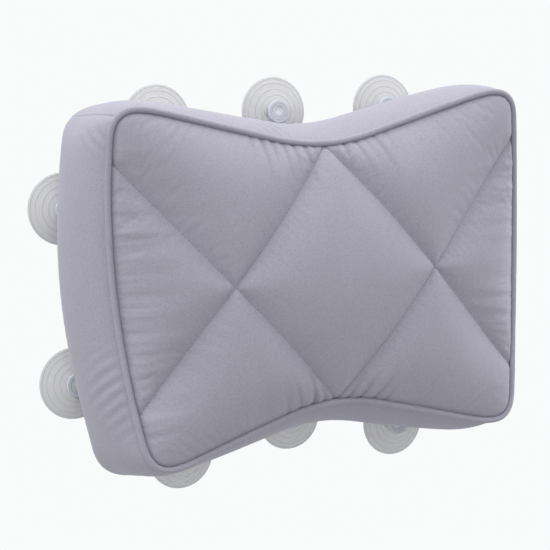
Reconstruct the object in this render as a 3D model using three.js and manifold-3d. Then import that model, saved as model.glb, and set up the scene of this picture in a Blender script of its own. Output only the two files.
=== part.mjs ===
// Bath pillow: a bow-tie cushion with a quilted face, a boxed side and a piped front edge, held to
// the tub wall by clear suction cups that button into clear tabs sewn to its back panel.
// Millimetres. +X is the width, +Z is up, and the bather leans on the -Y side.
// Y = 0 is the wall: the plane of the suction cups' rims. The origin is the middle of the back panel.
import * as THREE from 'three';
import { LoftGeometry } from 'three/addons/geometries/LoftGeometry.js';
import { mergeVertices } from 'three/addons/utils/BufferGeometryUtils.js';
import Module from 'manifold-3d';

const wasm = await Module();
wasm.setup();

// Front face, measured on the piping's centreline.
const FACE_HALF_HEIGHT = 150;
const FACE_WAIST_HALF_HEIGHT = 107.5;
const FACE_TOP_HALF_WIDTH = 183;
const FACE_BOTTOM_HALF_WIDTH = 168;
const FACE_SIDE_BOW = 11.5;
const FACE_SIDE_SET_BACK = 14;
const FACE_WAIST_SET_BACK = 7;
const FACE_RISE = 7;
const FACE_CROWN = 20;

// Back panel, measured on the back seam.
const BACK_HALF_HEIGHT = 157;
const BACK_WAIST_HALF_HEIGHT = 120;
const BACK_TOP_HALF_WIDTH = 193;
const BACK_BOTTOM_HALF_WIDTH = 182;
const BACK_SIDE_BOW = 17.5;

// Rounding of both outlines: the bend at the waist, and how far a corner reaches along its two edges.
const WAIST_BEND = 44;
const CORNER_ALONG = 49;
const CORNER_DOWN = 31;
const CORNER_HANDLE = 30;

// Boxed side, from the piping to the back seam, and how far it bulges out halfway.
const GUSSET_DEPTH = 88;
const SIDE_BULGE = 10;
const WAIST_BULGE = 13;
const CORNER_BULGE = 1.5;

// Cloth, wadding and piping.
const COVER_THICKNESS = 2;
const WADDING_THICKNESS = 14;
const PIPING_RADIUS = 2.6;
const PIPING_CLOTH = 0.8;
const PIPING_SLIT = 1;

// Quilting: straight stitch lines from the middle of the top and bottom edges, crossing at mid height.
const QUILT_CROSSING = 92;
const QUILT_DEPTH = 6;
const QUILT_HALF_WIDTH = 13;

// Suction cup, from the rim on the wall to the button head.
const CUP_RADIUS = 30;
const CUP_HEIGHT = 8;
const CUP_WALL = 2;
const CUP_LIP = 1.6;
const CUP_CROWN_RADIUS = 11;
const NECK_RADIUS = 4.5;
const HEAD_RADIUS = 10;
const HEAD_THICKNESS = 3.5;
const HEAD_CHAMFER = 0.8;
const HEAD_TO_BACK = 0.7;

// Clear tab: an eyelet for the cup, two ears beside it, and a foot on the back panel, sewn along its end.
const TAB_THICKNESS = 1.2;
const TAB_HALF_WIDTH = 12;
const TAB_EYE_RADIUS = 9.5;
const TAB_EAR_REACH = 12.2;
const TAB_EAR_WIDTH = 6.6;
const TAB_WAIST_HALF_WIDTH = 7;
const TAB_SHOULDER = 13;
const TAB_LENGTH = 40;
const TAB_FOOT_LENGTH = 12;
const TAB_SEAM_INSET = 8;

// Cup places: spacing along an edge of the back panel, and how far the neck lies outside its seam.
const TOP_CUP_SPACING = 109;
const TOP_CUP_REACH = 0.5;
const TOP_MIDDLE_CUP_REACH = 22;
const BOTTOM_CUP_SPACING = 105;
const BOTTOM_CUP_REACH = 7.7;
const BOTTOM_MIDDLE_CUP_REACH = 6.5;
const UPPER_CUP_HEIGHT = 71.5;
const UPPER_CUP_REACH = -8.2;
const LOWER_CUP_HEIGHT = -73.5;
const LOWER_CUP_REACH = -2.5;

// Clearance between neighbouring pieces.
const GAP = 0.3;

// Fineness of the meshes.
const STRETCH_STEPS = [2, 2, 5, 3];
const QUARTER_STEPS = STRETCH_STEPS.reduce((sum, steps) => sum + steps);
const PIPING_SIDES = 6;
const CUP_SIDES = 20;
const TAB_BEND_STEPS = 4;
const ROUND_STEPS = 7;
const FACE_RINGS = [0.25, 0.5, 0.72, 0.88, 1];
const GUSSET_STEPS = 5;
const FOAM_FIRST_STEP = 2;
const QUILT_STEPS = 10;
const WELD = 1e-4;

// Planes along Y and other values that follow from the sizes above.
const TAB_Y = -CUP_HEIGHT - GAP;
const HEAD_Y = TAB_Y - TAB_THICKNESS - GAP;
const BACK_Y = HEAD_Y - HEAD_THICKNESS - HEAD_TO_BACK;
const FACE_Y = BACK_Y - GUSSET_DEPTH;
const FACE_HALF_WIDTH = (FACE_TOP_HALF_WIDTH + FACE_BOTTOM_HALF_WIDTH) / 2;
const FACE_TAPER = (FACE_TOP_HALF_WIDTH - FACE_BOTTOM_HALF_WIDTH) / (2 * FACE_HALF_WIDTH);
const BACK_HALF_WIDTH = (BACK_TOP_HALF_WIDTH + BACK_BOTTOM_HALF_WIDTH) / 2;
const BACK_TAPER = (BACK_TOP_HALF_WIDTH - BACK_BOTTOM_HALF_WIDTH) / (2 * BACK_HALF_WIDTH);
const EDGE_CLEARANCE = PIPING_RADIUS + GAP;

const cloth = new THREE.MeshStandardMaterial({ color: 0xa7a5b2, roughness: 0.9, metalness: 0 });
const foam = new THREE.MeshStandardMaterial({ color: 0xe9e6dc, roughness: 0.95, metalness: 0 });
const wool = new THREE.MeshStandardMaterial({ color: 0xf4f4f2, roughness: 0.95, metalness: 0 });
const vinyl = new THREE.MeshStandardMaterial({
  color: 0xd6dae0,
  roughness: 0.15,
  metalness: 0,
  transparent: true,
  opacity: 0.45,
});

const pillow = new THREE.Group();

// Geometry helpers.

// Keeps only positions, welds shared corners and drops triangles that a pole has closed up.
function weld(geometry) {
  const bare = new THREE.BufferGeometry();
  bare.setAttribute('position', geometry.getAttribute('position'));
  bare.setIndex(geometry.index);
  const merged = mergeVertices(bare, WELD);
  const corners = merged.index.array;
  const kept = [];
  for (let i = 0; i < corners.length; i += 3) {
    const [a, b, c] = corners.slice(i, i + 3);
    if (a !== b && b !== c && c !== a) kept.push(a, b, c);
  }
  merged.setIndex(kept);
  return merged;
}

// A closed geometry as a solid with its faces pointing out.
function solid(geometry) {
  const merged = weld(geometry);
  const vertProperties = new Float32Array(merged.getAttribute('position').array);
  const triVerts = new Uint32Array(merged.index.array);
  const made = new wasm.Manifold(new wasm.Mesh({ numProp: 3, vertProperties, triVerts }));
  if (made.volume() > 0) return made;
  triVerts.reverse();
  return new wasm.Manifold(new wasm.Mesh({ numProp: 3, vertProperties, triVerts }));
}

// A bar lofted through sections of any winding, with both ends capped.
function bar(sections) {
  const [first, second] = sections;
  const middle = (points) =>
    points.reduce((sum, p) => sum.add(p), new THREE.Vector3()).divideScalar(points.length);
  const start = middle(first);
  const ahead = middle(second).sub(start);
  const facing = new THREE.Vector3();
  first.forEach((p, i) => {
    const next = first[(i + 1) % first.length].clone().sub(start);
    facing.add(p.clone().sub(start).cross(next));
  });
  const ordered = facing.dot(ahead) > 0 ? sections : sections.map((points) => [...points].reverse());
  return solid(new LoftGeometry(ordered, { capStart: true, capEnd: true }));
}

function geometryOf(made) {
  const { vertProperties, triVerts } = made.getMesh();
  const geometry = new THREE.BufferGeometry();
  geometry.setAttribute('position', new THREE.BufferAttribute(new Float32Array(vertProperties), 3));
  geometry.setIndex(new THREE.BufferAttribute(new Uint32Array(triVerts), 1));
  geometry.computeVertexNormals();
  return geometry;
}

function addPiece(parent, name, made, material) {
  const mesh = new THREE.Mesh(geometryOf(made), material);
  mesh.name = name;
  parent.add(mesh);
}

const mix = THREE.MathUtils.lerp;

// Outlines.

// Height of a bow-tie's straight sloping edge at a distance from the middle.
function slopingEdge(halfWidth, halfHeight, waist, x) {
  const slope = (halfHeight - waist) / (halfWidth - WAIST_BEND / 2);
  return Math.max(waist, waist + slope * (Math.abs(x) - WAIST_BEND / 2));
}

// Half width of a bow-tie's bowed side at a height.
function bowedSide(halfWidth, halfHeight, sideBow, z) {
  return halfWidth + sideBow * (1 - (z / halfHeight) ** 2);
}

// A quarter of a bow-tie, from the middle of its top edge over the corner to the middle of its side.
function quarterOutline(halfWidth, halfHeight, waist, sideBow) {
  const edge = (x) => slopingEdge(halfWidth, halfHeight, waist, x);
  const cornerStart = new THREE.Vector2(halfWidth - CORNER_ALONG, edge(halfWidth - CORNER_ALONG));
  const sideTop = halfHeight - CORNER_DOWN;
  const cornerEnd = new THREE.Vector2(bowedSide(halfWidth, halfHeight, sideBow, sideTop), sideTop);
  const along = new THREE.Vector2(WAIST_BEND, edge(2 * WAIST_BEND) - edge(WAIST_BEND));
  const upward = new THREE.Vector2((-2 * sideBow * sideTop) / halfHeight ** 2, 1);
  const startHandle = cornerStart.clone().addScaledVector(along.normalize(), CORNER_HANDLE);
  const endHandle = cornerEnd.clone().addScaledVector(upward.normalize(), CORNER_HANDLE);
  const path = new THREE.Path();
  path.moveTo(0, waist);
  path.quadraticCurveTo(WAIST_BEND / 2, waist, WAIST_BEND, edge(WAIST_BEND));
  path.lineTo(cornerStart.x, cornerStart.y);
  path.bezierCurveTo(startHandle.x, startHandle.y, endHandle.x, endHandle.y, cornerEnd.x, cornerEnd.y);
  path.quadraticCurveTo(halfWidth + sideBow, sideTop / 2, halfWidth + sideBow, 0);
  const runs = path.curves.map((curve, i) => curve.getSpacedPoints(STRETCH_STEPS[i]).slice(0, -1));
  return [...runs.flat(), new THREE.Vector2(halfWidth + sideBow, 0)];
}

// The whole outline, clockwise as the bather sees it, starting at the middle of the top edge.
function fullOutline(quarter) {
  const mirrored = (sx, sz) => quarter.map((p) => new THREE.Vector2(sx * p.x, sz * p.y));
  const lowerRight = mirrored(1, -1).reverse();
  const upperLeft = mirrored(-1, 1).reverse();
  const runs = [quarter, lowerRight, mirrored(-1, -1), upperLeft];
  return runs.flatMap((run) => run.slice(0, QUARTER_STEPS));
}

const faceQuarter = quarterOutline(
  FACE_HALF_WIDTH,
  FACE_HALF_HEIGHT,
  FACE_WAIST_HALF_HEIGHT,
  FACE_SIDE_BOW,
);
const backQuarter = quarterOutline(
  BACK_HALF_WIDTH,
  BACK_HALF_HEIGHT,
  BACK_WAIST_HALF_HEIGHT,
  BACK_SIDE_BOW,
);
const faceOutline = fullOutline(faceQuarter);
const backOutline = fullOutline(backQuarter);
const STATIONS = faceOutline.length;

// Step of the quarter at which its corner stands furthest out.
const cornerStep = faceQuarter
  .map((p) => p.x * p.y)
  .reduce((best, area, i, areas) => (area > areas[best] ? i : best), 0);

// The crowned face, over flat places (x, z) of its pattern before the taper.

// How far a place lies towards the side and towards the top or bottom edge, from 0 to 1.
function sharesAt(x, z) {
  const side = bowedSide(FACE_HALF_WIDTH, FACE_HALF_HEIGHT, FACE_SIDE_BOW, z);
  const edge = slopingEdge(FACE_HALF_WIDTH, FACE_HALF_HEIGHT, FACE_WAIST_HALF_HEIGHT, x);
  return [Math.min(1, (x / side) ** 2), Math.min(1, (z / edge) ** 2)];
}

// How far the face's edges curve back from its plane.
function setBackAt(x, z) {
  const [sideShare, edgeShare] = sharesAt(x, z);
  const sideFade = 1 - (z / FACE_HALF_HEIGHT) ** 2;
  const edgeFade = Math.max(0, 1 - (x / FACE_HALF_WIDTH) ** 2);
  return FACE_SIDE_SET_BACK * sideShare * sideFade + FACE_WAIST_SET_BACK * edgeShare * edgeFade;
}

function facePoint(x, z, shift) {
  const [sideShare, edgeShare] = sharesAt(x, z);
  const y = FACE_Y + setBackAt(x, z) - FACE_CROWN * (1 - sideShare) * (1 - edgeShare) + shift;
  return new THREE.Vector3(x * (1 + (FACE_TAPER * z) / FACE_HALF_HEIGHT), y, z + FACE_RISE);
}

function backPoint(x, z) {
  return new THREE.Vector3(x * (1 + (BACK_TAPER * z) / BACK_HALF_HEIGHT), BACK_Y, z);
}

// A station carries its flat place, the front and back seam points, the outward direction and the
// bulge of the boxed side.
function makeStation(step) {
  const flat = faceOutline[step];
  const before = faceOutline.at(step - 1);
  const after = faceOutline[(step + 1) % STATIONS];
  const outward = new THREE.Vector2(before.y - after.y, after.x - before.x).normalize();
  const atWaist = Math.max(0, 1 - (flat.x / FACE_HALF_WIDTH) ** 2);
  const atSide = (1 - (flat.y / FACE_HALF_HEIGHT) ** 2) * (1 - atWaist);
  const atCorner = Math.max(0, 1 - atWaist - atSide);
  return {
    flat,
    front: facePoint(flat.x, flat.y, 0).setY(FACE_Y + setBackAt(flat.x, flat.y)),
    back: backPoint(backOutline[step].x, backOutline[step].y),
    outward: new THREE.Vector3(outward.x, 0, outward.y),
    bulge: SIDE_BULGE * atSide + WAIST_BULGE * atWaist + CORNER_BULGE * atCorner,
  };
}

const stations = faceOutline.map((point, step) => makeStation(step));

// A station between two of the outline's steps.
function stationAt(step) {
  const low = Math.floor(step);
  const from = stations[((low % STATIONS) + STATIONS) % STATIONS];
  const to = stations[(((low + 1) % STATIONS) + STATIONS) % STATIONS];
  const part = step - low;
  return {
    front: from.front.clone().lerp(to.front, part),
    back: from.back.clone().lerp(to.back, part),
    outward: from.outward.clone().lerp(to.outward, part).normalize(),
    bulge: mix(from.bulge, to.bulge, part),
  };
}

// Half the clearance of a butted seam, as a share of the outline's step there.
const seamShare = (step) =>
  GAP / 2 / stationAt(step).front.distanceTo(stationAt(step + 1).front);

// Point on the boxed side, from behind the piping (step 0) to before the back panel (the last step).
// It bulges out halfway along the depth, and inset goes into the pillow.
function gussetPoint({ front, back, outward, bulge }, step, inset) {
  const first = EDGE_CLEARANCE / (back.y - front.y);
  const last = 1 - (COVER_THICKNESS + GAP) / (back.y - front.y);
  const depth = mix(first, last, step / GUSSET_STEPS);
  const out = 4 * bulge * depth * (1 - depth) - inset;
  return front.clone().lerp(back, depth).addScaledVector(outward, out);
}

// Ring of points on the crowned face: size 1 is its edge and 0 its middle.
function faceRing(size, inset, shift) {
  return stations.map(({ flat, outward }) => {
    const x = (flat.x - inset * outward.x) * size;
    const z = (flat.y - inset * outward.z) * size;
    return facePoint(x, z, shift);
  });
}

const backRing = (inset, y) =>
  stations.map(({ back, outward }) => back.clone().addScaledVector(outward, -inset).setY(y));

// Where a ring closes to a single point.
const pole = (point) => stations.map(() => point);

// Quilted face.

// Trench with a V section along one stitch line, deepest halfway, following the crowned face. Its
// mouth lies above the face by the trench's own depth, so that it cuts right through.
function quiltTrench(signX, signZ, shift) {
  const waist = FACE_WAIST_HALF_HEIGHT;
  const reach = FACE_HALF_WIDTH + FACE_SIDE_BOW;
  const across = new THREE.Vector2(waist * signZ, QUILT_CROSSING * signX).normalize();
  const sections = [];
  for (let i = 0; i <= QUILT_STEPS; i += 1) {
    const part = i / QUILT_STEPS;
    const x = reach * part * signX;
    const z = waist * (1 - (reach * part) / QUILT_CROSSING) * signZ;
    const depth = 4 * QUILT_DEPTH * part * (1 - part);
    const floor = facePoint(x, z, shift + depth);
    const mouth = (side) => {
      const out = side * QUILT_HALF_WIDTH * 2;
      const lip = new THREE.Vector3(out * across.x, -2 * QUILT_DEPTH, out * across.y);
      return lip.add(floor);
    };
    sections.push([mouth(-1), mouth(1), floor]);
  }
  return bar(sections);
}

// Block under the crowned face, before quilting.
function crownedBlock(inset, shift, thickness) {
  const front = FACE_RINGS.map((size) => faceRing(size, inset, shift));
  const rear = FACE_RINGS.map((size) => faceRing(size, inset, shift + thickness)).reverse();
  const frontPole = pole(facePoint(0, 0, shift));
  const rearPole = pole(facePoint(0, 0, shift + thickness));
  return solid(new LoftGeometry([frontPole, ...front, ...rear, rearPole]));
}

function quiltedBlock(inset, shift, thickness) {
  let block = crownedBlock(inset, shift, thickness);
  for (const signX of [-1, 1]) {
    for (const signZ of [-1, 1]) block = block.subtract(quiltTrench(signX, signZ, shift));
  }
  return block;
}

// What lies under the panel, with a clearance to it.
const underPanel = (clearance) =>
  quiltedBlock(EDGE_CLEARANCE - COVER_THICKNESS, COVER_THICKNESS + clearance, 2 * WADDING_THICKNESS);

function frontPanel() {
  return quiltedBlock(EDGE_CLEARANCE, 0, WADDING_THICKNESS).subtract(underPanel(0));
}

addPiece(pillow, 'front_panel', frontPanel(), cloth);

// Foam core, filling what the wadding, the boxed side and the back panel leave. A clearance brings
// its front forward by that much.

function foamCore(clearance) {
  const inset = COVER_THICKNESS + GAP;
  const frontInset = EDGE_CLEARANCE + COVER_THICKNESS;
  const shift = WADDING_THICKNESS + GAP - clearance;
  const rearY = BACK_Y - COVER_THICKNESS - GAP;
  const rings = [pole(facePoint(0, 0, shift))];
  for (const size of FACE_RINGS) rings.push(faceRing(size, frontInset, shift));
  for (let step = FOAM_FIRST_STEP; step <= GUSSET_STEPS; step += 1) {
    rings.push(stations.map((station) => gussetPoint(station, step, inset)));
  }
  rings.push(pole(new THREE.Vector3(0, rearY, 0)));
  return solid(new LoftGeometry(rings));
}

// Wadding under the quilted panel, down to the foam.
function wadding() {
  const edge = crownedBlock(EDGE_CLEARANCE + COVER_THICKNESS, 0, 2 * WADDING_THICKNESS);
  return underPanel(GAP).intersect(edge).subtract(foamCore(GAP));
}

addPiece(pillow, 'foam_core', foamCore(0), foam);
addPiece(pillow, 'wadding', wadding(), wool);

// Boxed side: four strips that meet in seams at the corners.

function gussetStrip(firstStep, lastStep) {
  const from = firstStep + seamShare(firstStep);
  const to = lastStep - seamShare(lastStep - 1);
  const sections = [];
  for (let step = firstStep; step <= lastStep; step += 1) {
    const station = stationAt(THREE.MathUtils.clamp(step, from, to));
    const outer = [];
    const inner = [];
    for (let i = 0; i <= GUSSET_STEPS; i += 1) {
      outer.push(gussetPoint(station, i, 0));
      inner.unshift(gussetPoint(station, i, COVER_THICKNESS));
    }
    sections.push([...outer, ...inner]);
  }
  return bar(sections);
}

const corners = [
  cornerStep,
  2 * QUARTER_STEPS - cornerStep,
  2 * QUARTER_STEPS + cornerStep,
  4 * QUARTER_STEPS - cornerStep,
];
addPiece(pillow, 'gusset_right', gussetStrip(corners[0], corners[1]), cloth);
addPiece(pillow, 'gusset_bottom', gussetStrip(corners[1], corners[2]), cloth);
addPiece(pillow, 'gusset_left', gussetStrip(corners[2], corners[3]), cloth);
addPiece(pillow, 'gusset_top', gussetStrip(corners[3], corners[0] + STATIONS), cloth);

function backPanel() {
  const inner = backRing(0, BACK_Y - COVER_THICKNESS);
  const outer = backRing(0, BACK_Y);
  return bar([inner, outer]);
}

addPiece(pillow, 'back_panel', backPanel(), cloth);

// Piping round the front edge, butted at the middle of the bottom edge.

// Sweeps a section of (outward, backward) points along the front seam.
function sweepPiping(section) {
  const bottom = 2 * QUARTER_STEPS;
  const trim = seamShare(bottom);
  const sections = [];
  for (let i = 0; i <= STATIONS; i += 1) {
    const step = THREE.MathUtils.clamp(bottom + i, bottom + trim, bottom + STATIONS - trim);
    const { front, outward } = stationAt(step);
    const backward = new THREE.Vector3(0, 1, 0);
    sections.push(
      section.map((p) => front.clone().addScaledVector(outward, p.x).addScaledVector(backward, p.y)),
    );
  }
  return bar(sections);
}

function arcPoints(radius, from, to, steps) {
  const arc = new THREE.ArcCurve(0, 0, radius, from, to, false);
  return arc.getPoints(steps);
}

// Cloth wrapped round the cord, open towards the inside of the pillow where its edges are sewn in.
function pipingSleeve() {
  const inward = (3 * Math.PI) / 4;
  const innerRadius = PIPING_RADIUS - PIPING_CLOTH;
  const half = PIPING_SLIT / 2 / innerRadius;
  const from = inward + half;
  const to = inward + 2 * Math.PI - half;
  const outside = arcPoints(PIPING_RADIUS, from, to, PIPING_SIDES);
  const inside = arcPoints(innerRadius, from, to, PIPING_SIDES).reverse();
  return sweepPiping([...outside, ...inside]);
}

function pipingCord() {
  const facet = Math.cos(Math.PI / PIPING_SIDES);
  const radius = (PIPING_RADIUS - PIPING_CLOTH) * facet - GAP;
  return sweepPiping(arcPoints(radius, 0, 2 * Math.PI, PIPING_SIDES).slice(1));
}

addPiece(pillow, 'piping_sleeve', pipingSleeve(), cloth);
addPiece(pillow, 'piping_cord', pipingCord(), wool);

// Suction cup, turned about Y: button head, neck, bell and its hollow side.

function suctionCup() {
  const floor = -CUP_HEIGHT + CUP_WALL;
  const profile = [
    [0, HEAD_Y - HEAD_THICKNESS],
    [HEAD_RADIUS - HEAD_CHAMFER, HEAD_Y - HEAD_THICKNESS],
    [HEAD_RADIUS, HEAD_Y - HEAD_THICKNESS + HEAD_CHAMFER],
    [HEAD_RADIUS, HEAD_Y],
    [NECK_RADIUS, HEAD_Y],
    [NECK_RADIUS, -CUP_HEIGHT],
    [CUP_CROWN_RADIUS, -CUP_HEIGHT],
    [CUP_RADIUS, -CUP_LIP],
    [CUP_RADIUS, 0],
    [CUP_RADIUS - CUP_LIP, 0],
    [CUP_CROWN_RADIUS, floor],
    [0, floor],
  ];
  const points = profile.map(([r, y]) => new THREE.Vector2(r, y));
  return solid(new THREE.LatheGeometry(points, CUP_SIDES));
}

// Tab: flat round the neck, then bent down to lie on the back panel where it is sewn.

// Ribbon seen from its edge, drawn over (distance from the neck towards the pillow, Y).
function tabRibbon(sewnFrom) {
  const sewnY = BACK_Y + GAP;
  const padY = TAB_Y - TAB_THICKNESS;
  const under = [[-TAB_EYE_RADIUS - TAB_THICKNESS, padY]];
  for (let i = 0; i <= TAB_BEND_STEPS; i += 1) {
    const part = i / TAB_BEND_STEPS;
    const y = mix(padY, sewnY, THREE.MathUtils.smoothstep(part, 0, 1));
    under.push([mix(TAB_SHOULDER, sewnFrom, part), y]);
  }
  under.push([sewnFrom + TAB_FOOT_LENGTH, sewnY]);
  const over = under.map(([s, y]) => [s, y + TAB_THICKNESS]).reverse();
  const shape = new THREE.Shape([...under, ...over].map(([s, y]) => new THREE.Vector2(s, y)));
  const width = 2 * Math.max(TAB_HALF_WIDTH, TAB_EAR_REACH);
  const ribbon = new THREE.ExtrudeGeometry(shape, { depth: width, bevelEnabled: false });
  ribbon.translate(0, 0, -width / 2);
  return solid(ribbon.rotateY(Math.PI / 2));
}

// Flat prism through the tab's whole height, from a shape drawn over (across, away from the pillow).
function tabPrism(shape) {
  const height = GAP - BACK_Y;
  const prism = new THREE.ExtrudeGeometry(shape, {
    depth: height,
    bevelEnabled: false,
    curveSegments: ROUND_STEPS,
  });
  return solid(prism.rotateX(Math.PI / 2));
}

function slotShape(reach, halfWidth) {
  const shape = new THREE.Shape();
  const straight = reach - halfWidth;
  shape.absarc(straight, 0, halfWidth, -Math.PI / 2, Math.PI / 2, false);
  shape.absarc(-straight, 0, halfWidth, Math.PI / 2, (3 * Math.PI) / 2, false);
  return shape;
}

function rectangleShape(halfWidth, from, to) {
  return new THREE.Shape([
    new THREE.Vector2(-halfWidth, from),
    new THREE.Vector2(halfWidth, from),
    new THREE.Vector2(halfWidth, to),
    new THREE.Vector2(-halfWidth, to),
  ]);
}

function discShape(radius) {
  return new THREE.Shape().absarc(0, 0, radius, 0, 2 * Math.PI, false);
}

function eyeletTab(sewnFrom) {
  const end = -sewnFrom - TAB_FOOT_LENGTH;
  const plan = tabPrism(discShape(TAB_EYE_RADIUS))
    .add(tabPrism(slotShape(TAB_EAR_REACH, TAB_EAR_WIDTH / 2)))
    .add(tabPrism(rectangleShape(TAB_WAIST_HALF_WIDTH, -TAB_SHOULDER, 0)))
    .add(tabPrism(rectangleShape(TAB_HALF_WIDTH, end, -TAB_SHOULDER)))
    .subtract(tabPrism(discShape(NECK_RADIUS + GAP)));
  return tabRibbon(sewnFrom).intersect(plan);
}

// Cups and tabs round the back panel's edge. A turn about Y points the tab at the pillow.

function addCup(name, x, z, turn, reach) {
  const group = new THREE.Group();
  group.position.set(x, 0, z);
  group.rotation.y = turn;
  const sewnFrom = Math.max(TAB_LENGTH, reach + TAB_SEAM_INSET);
  addPiece(group, `eyelet_tab_${name}`, eyeletTab(sewnFrom), vinyl);
  addPiece(group, `suction_cup_${name}`, suctionCup(), vinyl);
  pillow.add(group);
}

const backEdge = (x) => slopingEdge(BACK_HALF_WIDTH, BACK_HALF_HEIGHT, BACK_WAIST_HALF_HEIGHT, x);
const backSide = (z) => bowedSide(BACK_HALF_WIDTH, BACK_HALF_HEIGHT, BACK_SIDE_BOW, z);

const edgeCups = [
  { row: 'top', side: 1, turn: 0, spacing: TOP_CUP_SPACING, reach: TOP_CUP_REACH },
  { row: 'bottom', side: -1, turn: Math.PI, spacing: BOTTOM_CUP_SPACING, reach: BOTTOM_CUP_REACH },
];
for (const { row, side, turn, spacing, reach } of edgeCups) {
  const z = side * (backEdge(spacing) + reach);
  addCup(`${row}_left`, -spacing, z, turn, reach);
  addCup(`${row}_right`, spacing, z, turn, reach);
}
addCup('top_middle', 0, backEdge(0) + TOP_MIDDLE_CUP_REACH, 0, TOP_MIDDLE_CUP_REACH);
addCup('bottom_middle', 0, -backEdge(0) - BOTTOM_MIDDLE_CUP_REACH, Math.PI, BOTTOM_MIDDLE_CUP_REACH);

const sideCups = [
  { row: 'upper', z: UPPER_CUP_HEIGHT, reach: UPPER_CUP_REACH },
  { row: 'lower', z: LOWER_CUP_HEIGHT, reach: LOWER_CUP_REACH },
];
for (const { row, z, reach } of sideCups) {
  const x = backPoint(backSide(z), z).x + reach;
  addCup(`left_${row}`, -x, z, -Math.PI / 2, reach);
  addCup(`right_${row}`, x, z, Math.PI / 2, reach);
}

export default pillow;
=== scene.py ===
"""Looks of a bow-tie bath pillow: quilted velvet cover, piping, boxed sides and clear suction cups."""

import math

import bpy
import numpy as np
from bpy.props import FloatProperty, FloatVectorProperty, IntProperty, PointerProperty
from mathutils import Matrix, Vector
from mathutils.geometry import delaunay_2d_cdt


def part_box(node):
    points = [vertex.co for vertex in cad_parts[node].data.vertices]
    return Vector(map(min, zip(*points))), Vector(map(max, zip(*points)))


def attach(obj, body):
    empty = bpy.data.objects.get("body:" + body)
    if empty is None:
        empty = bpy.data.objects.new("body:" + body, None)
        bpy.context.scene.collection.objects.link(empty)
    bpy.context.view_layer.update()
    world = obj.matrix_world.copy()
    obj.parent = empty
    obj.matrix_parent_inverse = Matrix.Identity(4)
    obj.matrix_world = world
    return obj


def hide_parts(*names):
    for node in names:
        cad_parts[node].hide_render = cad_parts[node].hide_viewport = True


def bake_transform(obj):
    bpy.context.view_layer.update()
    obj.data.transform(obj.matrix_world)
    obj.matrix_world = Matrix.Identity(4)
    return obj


bl_info = {
    "name": "Bath pillow",
    "version": (1, 0, 0),
    "blender": (4, 5, 0),
    "location": "3D View > Sidebar > Bath pillow",
    "description": "Dresses a bow-tie bath pillow in quilted velvet with piping and clear suction cups",
    "category": "Object",
}

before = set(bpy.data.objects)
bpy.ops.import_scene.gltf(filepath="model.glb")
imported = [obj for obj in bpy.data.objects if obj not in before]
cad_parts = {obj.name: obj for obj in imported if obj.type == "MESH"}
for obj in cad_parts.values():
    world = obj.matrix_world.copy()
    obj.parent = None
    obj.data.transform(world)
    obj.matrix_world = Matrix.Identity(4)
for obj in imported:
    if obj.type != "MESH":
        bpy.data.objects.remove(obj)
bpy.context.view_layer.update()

PIPING_LOW, PIPING_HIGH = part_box("piping_sleeve")
BACK_LOW, BACK_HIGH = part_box("back_panel")
CUP_PREFIX = "suction_cup_"
CUPS = sorted(name[len(CUP_PREFIX):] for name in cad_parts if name.startswith(CUP_PREFIX))

BACKWARD = np.array([0, 1.0, 0])

# Direction from a cup to the pillow, over (x, z), by the edge that it hangs on.
TO_PILLOW = {"top": (0, -1), "bottom": (0, 1), "left": (1, 0), "right": (-1, 0)}


def length(name, default, description):
    """A property for a length in metres."""
    return FloatProperty(name=name, description=description, default=default, unit="LENGTH", precision=4)


def number(name, default, description, unit="NONE"):
    """A property for a plain number, or for a measure in a unit that Blender knows."""
    return FloatProperty(name=name, description=description, default=default, unit=unit)


def angle(name, degrees, description):
    """A property for an angle, given in degrees."""
    return FloatProperty(name=name, description=description, default=math.radians(degrees), subtype="ANGLE")


def colour(name, default, description):
    """A property for a linear colour."""
    return FloatVectorProperty(
        name=name, description=description, default=default, subtype="COLOR", size=3, min=0, max=1
    )


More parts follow.
